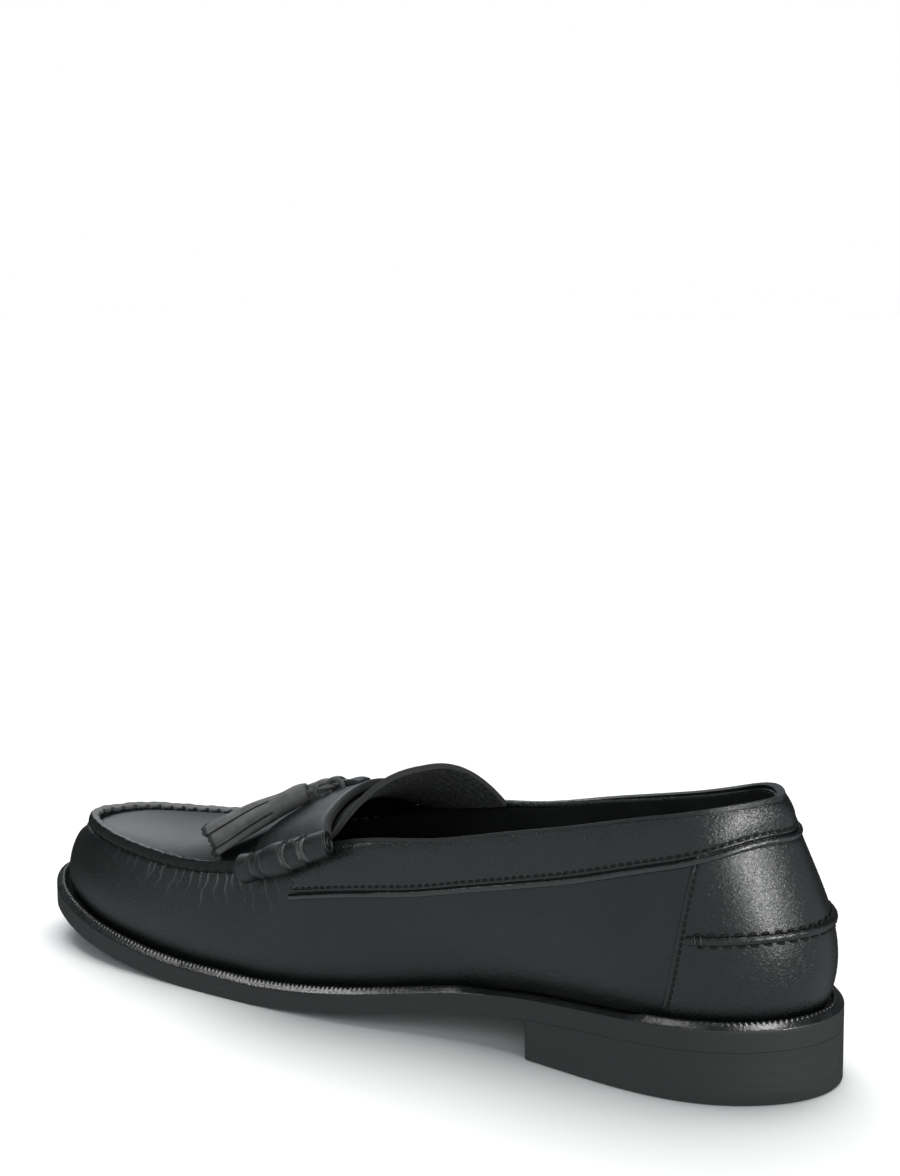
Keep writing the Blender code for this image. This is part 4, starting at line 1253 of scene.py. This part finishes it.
# Saddle strap: a strip of calf across the instep, narrow in the middle, its ends rolled into the beefrolls.
# It is cut raw along both edges and lies on the apron's rear and the front of the tongue.
STRAP_THICK = 1.8
STRAP_HALF = 36.0
STRAP_ROWS = 30
STRAP_STEPS = 120
STRAP_OVER = 0.6
STRAP_EDGES = (  # distance from the middle, and x of the front and rear edges
    (0, 174.0, 165.3), (4, 175.6, 165.2), (8, 180.4, 165.0), (13, 185.6, 164.6), (17, 189.4, 164.2),
    (21, 191.8, 163.5), (26, 191.8, 161.8), (30, 190.2, 159.2), (34, 187.8, 155.5), (36, 186.4, 153.9),
)
STRAP_CLIMB = 1.3
STRAP_CLIMB_FROM = (20.0, 32.0)
STRAP_PLUMP = 0.8
STRAP_PLUMP_EDGE = 0.14
STRAP_RIM = 0.1
STRAP_RAW = (0.7, 1.0)

off = np.linspace(STRAP_HALF, -STRAP_HALF, STRAP_STEPS)[:, None]
share = np.linspace(0.0, 1.0, STRAP_ROWS)[None, :]
strap_front = curve(np.abs(off), STRAP_EDGES)
strap_x = strap_front + (curve(np.abs(off), STRAP_EDGES, 2) - strap_front) * share
strap_y = curve(strap_x, TOP) + off
plump = STRAP_PLUMP * (rounded(np.minimum(share, 1 - share), STRAP_PLUMP_EDGE) - 0.5)
climb = STRAP_CLIMB * ramp(np.abs(off), *STRAP_CLIMB_FROM)
strap_z = apron_height(strap_x, strap_y) + STRAP_OVER + STRAP_THICK + climb + plump
strap_face = points(strap_x, strap_y, strap_z)
strap_loops = sheet_loops(strap_face, strap_face - apron_out(strap_x, strap_y) * STRAP_THICK, STRAP_RIM)
strap_raw = np.zeros(strap_loops.shape[:2])
strap_raw[:, 0] = STRAP_RAW[0]
strap_raw[:, STRAP_ROWS - 1 : STRAP_ROWS + 2] = STRAP_RAW[1]
shoe_piece("saddle_strap", [strap_loops], calf, "upper_leather", "saddle_strap", rims=[strap_raw])

# Beefrolls: each end of the strap, rolled up on itself along the wall and bound with waxed thread.
# The binding sinks in, so the leather swells between the turns; the rear end shows the roll's spiral.
ROLL_FROM = 153.8
ROLL_TO = 187.5
ROLL_HEIGHT = (0.915, 0.985)
ROLL_CENTRE = 4.6
ROLL_SIDES = 32
ROLL_STEPS = 260
ROLL_SHAPE = (  # share of the length from the toe end, and radius
    (0.0, 4.95), (0.06, 4.75), (0.15, 4.55), (0.24, 4.7), (0.33, 5.2), (0.43, 5.65), (0.53, 5.45),
    (0.62, 5.05), (0.72, 4.95), (0.81, 4.65), (0.9, 4.5), (1.0, 4.3),
)
ROLL_DOME = (  # share of the end's radius, and reach past it
    (0.35, 0.32), (0.62, 0.31), (0.82, 0.29), (0.93, 0.24), (0.985, 0.12), (1.0, 0.0),
)
ROLL_NOTCH = 1.2
ROLL_NOTCH_HALF = 0.85
ROLL_SKEW = 1.25
ROLL_SKEW_FROM = 0.84
BINDINGS = ((0.15, 1), (0.29, 1), (0.578, 2), (0.785, 3))  # share of the length, and turns of thread
BINDING_RADIUS = 0.27
BINDING_STEP = 2.1 * BINDING_RADIUS
BINDING_PROUD = 0.2 * BINDING_RADIUS
# the binding thread's light strands are partly its twist and partly a painted highlight on its turns
BINDING = ((0.022, 0.0225, 0.023, 1.0), (0.100, 0.101, 0.102, 1.0))
SPIRAL_TURNS = 1.45
SPIRAL_STEPS = 90
SPIRAL_SIDES = 10
SPIRAL_START = 0.5
SPIRAL_INSET = 1.1
SPIRAL_WIDE = 0.5
SPIRAL_HIGH = 0.75
SPIRAL_PROUD = 0.05
SPIRAL_RAW = 0.3

binding_thread = twisted("binding_thread", 0.75, BINDING, lump=0.5, rough=0.30, depth=0.07)


def roll_end(ring, middle, ahead):
    """Rings that close a roll's end in a low dome, from its middle outward."""
    return np.stack([middle + (ring - middle) * size + ahead * reach for size, reach in ROLL_DOME])


def hoop(path, middle, radius, sides):
    """Closed ring of cord along a path round its middle."""
    path = np.concatenate([path[-2:], path, path[:2]])
    return rings_along(path, radius, radius, sides, unit(path - middle))[2:-2]


place_along = np.linspace(0.0, 1.0, ROLL_STEPS)
askew = ROLL_SKEW * ramp(place_along, ROLL_SKEW_FROM, 1.0)[:, None]
roll_v = ROLL_HEIGHT[0] + (ROLL_HEIGHT[1] - ROLL_HEIGHT[0]) * place_along
inner_p = p_at(ROLL_TO + (ROLL_FROM - ROLL_TO) * place_along)
for name, roll_p in (("beefroll_inner", inner_p), ("beefroll_outer", 2.0 - inner_p)):
    out = wall_out(roll_p, roll_v)
    centre = off_wall(roll_p, roll_v, ROLL_CENTRE)
    heading = unit(np.gradient(centre, axis=0))
    roll_run = along(centre)
    radius = curve(place_along, ROLL_SHAPE)
    for spot, turns in BINDINGS:
        from_spot = np.maximum(np.abs(roll_run - spot * roll_run[-1]) - (turns - 1) * BINDING_RADIUS, 0.0)
        radius = radius - ROLL_NOTCH * bell(from_spot, ROLL_NOTCH_HALF)
    rings = rings_along(centre, radius, radius, ROLL_SIDES, out)
    leaning = np.sum((rings - centre[:, None]) * out[:, None], axis=-1) / radius[:, None]
    rings = rings + heading[:, None] * (askew * leaning)[..., None]
    toe_end = roll_end(rings[0], centre[0], -heading[0])
    rear_end = roll_end(rings[-1], centre[-1], heading[-1])[::-1]
    body = np.concatenate([toe_end, rings[1:-1], rear_end])
    shoe_piece(name, [body], calf, "upper_leather", name)
    binding = []
    for spot, turns in BINDINGS:
        for turn_number in range(turns):
            spot_run = spot * roll_run[-1] + (turn_number - (turns - 1) / 2) * BINDING_STEP
            k = int(np.argmin(np.abs(roll_run - spot_run)))
            loop = centre[k] + (rings[k] - centre[k]) * (1 + BINDING_PROUD / radius[k])
            binding.append(hoop(loop, centre[k], BINDING_RADIUS, THREAD_SIDES))
    shoe_piece(name + "_thread", binding, binding_thread, "upper_leather", closed=True)
    side = unit(np.cross(heading[-1], out[-1]))
    lift = np.cross(side, heading[-1])
    angle = np.linspace(0.0, SPIRAL_TURNS * 2 * np.pi, SPIRAL_STEPS)[:, None]
    spread = SPIRAL_START + (radius[-1] - SPIRAL_INSET) * angle / angle[-1]
    coil = heading[-1] * SPIRAL_PROUD + (side * np.cos(angle) + lift * np.sin(angle)) * spread
    coil = centre[-1] + coil + heading[-1] * (ROLL_SKEW * (coil @ out[-1]) / radius[-1])[:, None]
    curl = rings_along(coil, SPIRAL_WIDE, SPIRAL_HIGH, SPIRAL_SIDES, heading[-1])
    shoe_piece(name + "_curl", [curl], calf, "upper_leather", rims=[np.full(curl.shape[:2], SPIRAL_RAW)])

# Heel roll: a thin roll of calf laid round the back of the heel over the counter, with its ends wrapped.
# Stitches above and below hold it down.
HEEL_ROLL_RADIUS = 1.4
HEEL_ROLL_REACH = 0.196
HEEL_ROLL_HEIGHT = (0.41, 0.42)
HEEL_ROLL_STEPS = 130
HEEL_ROLL_SIDES = 18
HEEL_ROLL_OUT = 0.05 * HEEL_ROLL_RADIUS
HEEL_ROLL_HUG = 1.12 * HEEL_ROLL_RADIUS
HEEL_ROLL_DENT = 0.06
HEEL_ROLL_DENT_SHARP = 6
HEEL_ROLL_END = 0.55
HEEL_ROLL_END_LONG = 1.5
HEEL_STITCH_PITCH = 3.9
HEEL_STITCH = (HEEL_STITCH_PITCH, 2.5, 0.42)
HEEL_STITCH_SLANT = 0.25
HEEL_STITCH_LEAN = 0.6
HEEL_STITCH_OUT = 0.1
HEEL_WRAPS = (4, 6, HEEL_ROLL_STEPS - 7, HEEL_ROLL_STEPS - 5)
HEEL_WRAP_STEPS = 20
HEEL_WRAP_RADIUS = 0.42

reach = np.linspace(-1.0, 1.0, HEEL_ROLL_STEPS)
roll_p = HEEL_ROLL_REACH * reach
roll_v = HEEL_ROLL_HEIGHT[0] + (HEEL_ROLL_HEIGHT[1] - HEEL_ROLL_HEIGHT[0]) * reach**2
out = wall_out(roll_p, roll_v)
up_wall = wall_up(roll_p, roll_v)
surface = off_wall(roll_p, roll_v, COUNTER_THICK)
centre = surface + out * HEEL_ROLL_OUT
roll_run = along(centre)
dent = np.cos(np.pi * roll_run / HEEL_STITCH_PITCH) ** HEEL_ROLL_DENT_SHARP
ends = rounded(np.minimum(roll_run, roll_run[-1] - roll_run), HEEL_ROLL_END_LONG)
thick = HEEL_ROLL_RADIUS * (1 - HEEL_ROLL_DENT * dent) * (HEEL_ROLL_END + (1 - HEEL_ROLL_END) * ends)
heel_roll_rings = rings_along(centre, thick, thick, HEEL_ROLL_SIDES, out)
shoe_piece("heel_roll", [heel_roll_rings], heel_calf, "upper_leather", "heel_roll")

roll_stitches = []
for way in (1.0, -1.0):
    row = surface + up_wall * way * HEEL_ROLL_HUG + out * HEEL_STITCH_OUT
    row_out = unit(out + way * HEEL_STITCH_LEAN * up_wall)
    roll_stitches += stitches(row, row_out, *HEEL_STITCH, HEEL_STITCH_SLANT * way)
shoe_piece("heel_roll_thread", roll_stitches, thread, "upper_leather")

wraps = []
turn = np.pi * loop_of(HEEL_WRAP_STEPS)[:, None]
for k in HEEL_WRAPS:
    loop = centre[k] + (out[k] * np.sin(turn) + up_wall[k] * np.cos(turn)) * HEEL_ROLL_HUG
    wraps.append(hoop(loop, centre[k], HEEL_WRAP_RADIUS, THREAD_SIDES))
shoe_piece("heel_roll_wraps", wraps, calf, "upper_leather", closed=True)

# Tassels: a strip of calf cut into a fringe along one side and rolled up, so a plain head ends in strips.
# Both hang from the thong and lie on the apron, pointing to the toe and outward.
TASSEL_HEAD = (182.6, 9.0)
TASSEL_END = (210.2, 26.0)
TASSEL_LONG = 34.0
TASSEL_STEPS = 44
TASSEL_SIDES = 28
TASSEL_SHAPE = (  # share of the length, and half width and half height
    (0.0, 3.2, 3.1), (0.04, 3.6, 3.4), (0.20, 4.0, 3.6), (0.36, 4.8, 4.1), (0.50, 5.7, 4.6), (0.75, 6.5, 5.0),
    (1.0, 6.9, 5.2),
)
TASSEL_LIFT = (2.0, 0.3)
FAR_LIFT = 0.1
HEAD_INSIDE = 0.97
HEAD_RAW = 0.7
STRIP_COUNT = 6
STRIP_THICK = 1.4
STRIP_FROM = 0.27
STRIP_OPEN = STRIP_FROM + 0.10
STRIP_RIPPLED = STRIP_FROM + 0.3
STRIP_RIPPLE = 0.05
STRIP_GAP = 0.075
STRIP_ACROSS = 11
STRIP_RIM = 0.08
STRIP_RAW = 0.8
RAGGED_END = 0.45
RAGGED_LONG = 0.03
RAGGED_WAVE = (9.0, 2.3)
CORE_COUNT = 5
CORE_SIZE = 0.62
CORE_LONG = 0.985
UNEVEN = 0.02
FRINGE = ((0.062, 0.062, 0.063, 1.0), (0.105, 0.105, 0.106, 1.0))

fringe = leather("fringe_calf", rough=0.55, grain=0.50, depth=0.11, cloud=4.0, gloss=0.55, tones=FRINGE)


def strip(lay, k, count, shrink, last):
    """One strip of the fringe and its raw edges: part of the tassel's round, between slits that open."""
    share, axis, heading, side, rise, wide, high = lay
    rows = np.linspace(STRIP_FROM, last, TASSEL_STEPS)
    gap = STRIP_GAP * ramp(rows, STRIP_FROM, STRIP_OPEN)[:, None]
    reach = np.linspace(-1.0, 1.0, STRIP_ACROSS)[None, :]
    angle = 2 * np.pi / count * (k + 0.5 + reach * (0.5 - gap))
    ripple = 1 + STRIP_RIPPLE * np.cos(reach * np.pi) * ramp(rows, STRIP_FROM, STRIP_RIPPLED)[:, None]
    ragged = RAGGED_END * np.sin(RAGGED_WAVE[0] * reach + RAGGED_WAVE[1] * k)
    ragged = ragged * ramp(rows, last - RAGGED_LONG, last)[:, None]
    past_end = np.maximum(rows - 1.0, 0.0)[:, None] * TASSEL_LONG
    middle = at_run(axis, share, rows)[:, None] + heading[-1] * (past_end + ragged)[..., None]
    skins = []
    for depth in (0.0, STRIP_THICK):
        across = np.cos(angle) * (np.interp(rows, share, wide)[:, None] * shrink * ripple - depth)
        tall = np.sin(angle) * (np.interp(rows, share, high)[:, None] * shrink * ripple - depth)
        around = at_run(side, share, rows)[:, None] * across[..., None]
        skins.append(middle + around + at_run(rise, share, rows)[:, None] * tall[..., None])
    loops = sheet_loops(*skins, STRIP_RIM)
    raw = np.zeros(loops.shape[:2])
    raw[:, [0, STRIP_ACROSS + 1]] = STRIP_RAW
    raw[-3:] = 1.0
    return loops, raw


layers = [(k, STRIP_COUNT, 1.0, 1.0 + UNEVEN * np.sin(2.4 * k)) for k in range(STRIP_COUNT)]
layers += [(k, CORE_COUNT, CORE_SIZE, CORE_LONG + UNEVEN * np.sin(1.9 * k + 1.0)) for k in range(CORE_COUNT)]
apron_mid = float(curve(np.array(TASSEL_HEAD[0]), TOP))
share = np.linspace(0.0, 1.0, TASSEL_STEPS)
wide = curve(share, TASSEL_SHAPE)
high = curve(share, TASSEL_SHAPE, 2)
head = share <= STRIP_OPEN
head_size = np.where(share[head] > STRIP_FROM, HEAD_INSIDE, 1.0)
head_wide = wide[head] * head_size
head_high = high[head] * head_size
for name, sign, lift_share in (("tassel_inner", 1.0, 1.0), ("tassel_outer", -1.0, FAR_LIFT)):
    x = TASSEL_HEAD[0] + (TASSEL_END[0] - TASSEL_HEAD[0]) * share
    y = TASSEL_HEAD[1] + (TASSEL_END[1] - TASSEL_HEAD[1]) * share
    y = apron_mid + sign * (y - apron_mid)
    lift = apron_out(x, y)
    clear = (TASSEL_LIFT[0] + (TASSEL_LIFT[1] - TASSEL_LIFT[0]) * share) * lift_share
    axis = points(x, y, apron_height(x, y)) + lift * (high + clear)[:, None]
    heading = unit(np.gradient(axis, axis=0))
    side = unit(np.cross(heading, lift))
    lay = (share, axis, heading, side, np.cross(side, heading), wide, high)
    bodies = [strip(lay, *layer) for layer in layers]
    head_rings = rings_along(axis[head], head_wide, head_high, TASSEL_SIDES, lift[head])
    head_raw = np.zeros(head_rings.shape[:2])
    head_raw[0] = HEAD_RAW
    bodies.append((head_rings, head_raw))
    shoe_piece(name, [b[0] for b in bodies], fringe, "tassel_leather", name, rims=[b[1] for b in bodies])

# Thong: a round leather lace tied in a knot in front of the strap, with a tassel hung on each end.
# Its loops lie one over the other and are drawn tight against the band.
THONG_RADIUS = 0.95
THONG_STEPS = 60
THONG_SIDES = 12
THONG_LIFT = (0.05, 0.03, 1.0)
THONG_ROUTE = (  # x, distance from the middle, and height over the apron
    (185.2, 10.4, 5.6), (181.8, 8.0, 5.6), (178.6, 4.4, 4.4), (177.4, 0.0, 3.4), (179.0, -4.4, 2.4),
    (182.2, -8.0, 2.6), (185.6, -10.4, 3.2),
)
KNOT_STEPS = 32
KNOT_LOOPS = (  # x, distance from the middle, height over the apron, radius, and bearing in degrees
    (180.6, 6.0, 4.3, 2.5, 66.0),
    (176.6, 3.4, 3.3, 2.9, 8.0),
    (180.6, -6.0, 2.0, 2.0, -66.0),
    (177.0, -3.0, 1.8, 2.2, 20.0),
)
THONG = ((0.045, 0.0455, 0.046, 1.0), (0.085, 0.0855, 0.086, 1.0))

thong_calf = leather("thong_calf", rough=0.48, grain=0.50, depth=0.09, cloud=4.0, gloss=0.55, tones=THONG)
route = np.array(THONG_ROUTE)
route[:, 1] += apron_mid
route[:, 2] += apron_height(route[:, 0], route[:, 1])
lace = spline_through(route, np.linspace(0.0, len(route) - 1.0, THONG_STEPS))
lace_rings = rings_along(lace, THONG_RADIUS, THONG_RADIUS, THONG_SIDES, THONG_LIFT)
shoe_piece("tassel_thong", [lace_rings], thong_calf, "tassel_leather", "tassel_thong")

loops = []
turn = np.pi * loop_of(KNOT_STEPS)[:, None]
for x, off, height, radius, bearing in KNOT_LOOPS:
    y = apron_mid + off
    level = np.array([np.cos(np.radians(bearing)), np.sin(np.radians(bearing)), 0.0])
    middle = np.array([x, y, float(apron_height(np.array(x), np.array(y))) + height])
    path = middle + radius * (np.cos(turn) * level + np.sin(turn) * UP)
    loops.append(hoop(path, middle, THONG_RADIUS, THONG_SIDES))
shoe_piece("tassel_knot", loops, thong_calf, "tassel_leather", closed=True)

# Thong band: a short flat strap of calf laid over the middle of the saddle strap from front to rear.
# Its ends are caught under the strap, so it holds the knot to it.
KEEPER_X = (178.4, 166.6)
KEEPER_HALF = 2.6
KEEPER_THICK = 1.8
KEEPER_ROWS = 40
KEEPER_COLUMNS = 14
KEEPER_HUMP = 1.9
KEEPER_HUMP_ROUND = 0.6
KEEPER_SUNK = 1.4
KEEPER_RIM = 0.2

keeper_x = np.linspace(*KEEPER_X, KEEPER_ROWS)[:, None]
keeper_y = apron_mid + np.linspace(KEEPER_HALF, -KEEPER_HALF, KEEPER_COLUMNS)[None, :]
hump = KEEPER_HUMP * np.sin(np.pi * np.linspace(0.0, 1.0, KEEPER_ROWS)[:, None]) ** KEEPER_HUMP_ROUND
strap_top = STRAP_OVER + STRAP_THICK + KEEPER_THICK - KEEPER_SUNK
keeper_face = points(keeper_x, keeper_y, apron_height(keeper_x, keeper_y) + strap_top + hump)
keeper_loops = sheet_loops(keeper_face, keeper_face - UP * KEEPER_THICK, KEEPER_RIM)
shoe_piece("thong_band", [keeper_loops], calf, "tassel_leather", "thong_band")
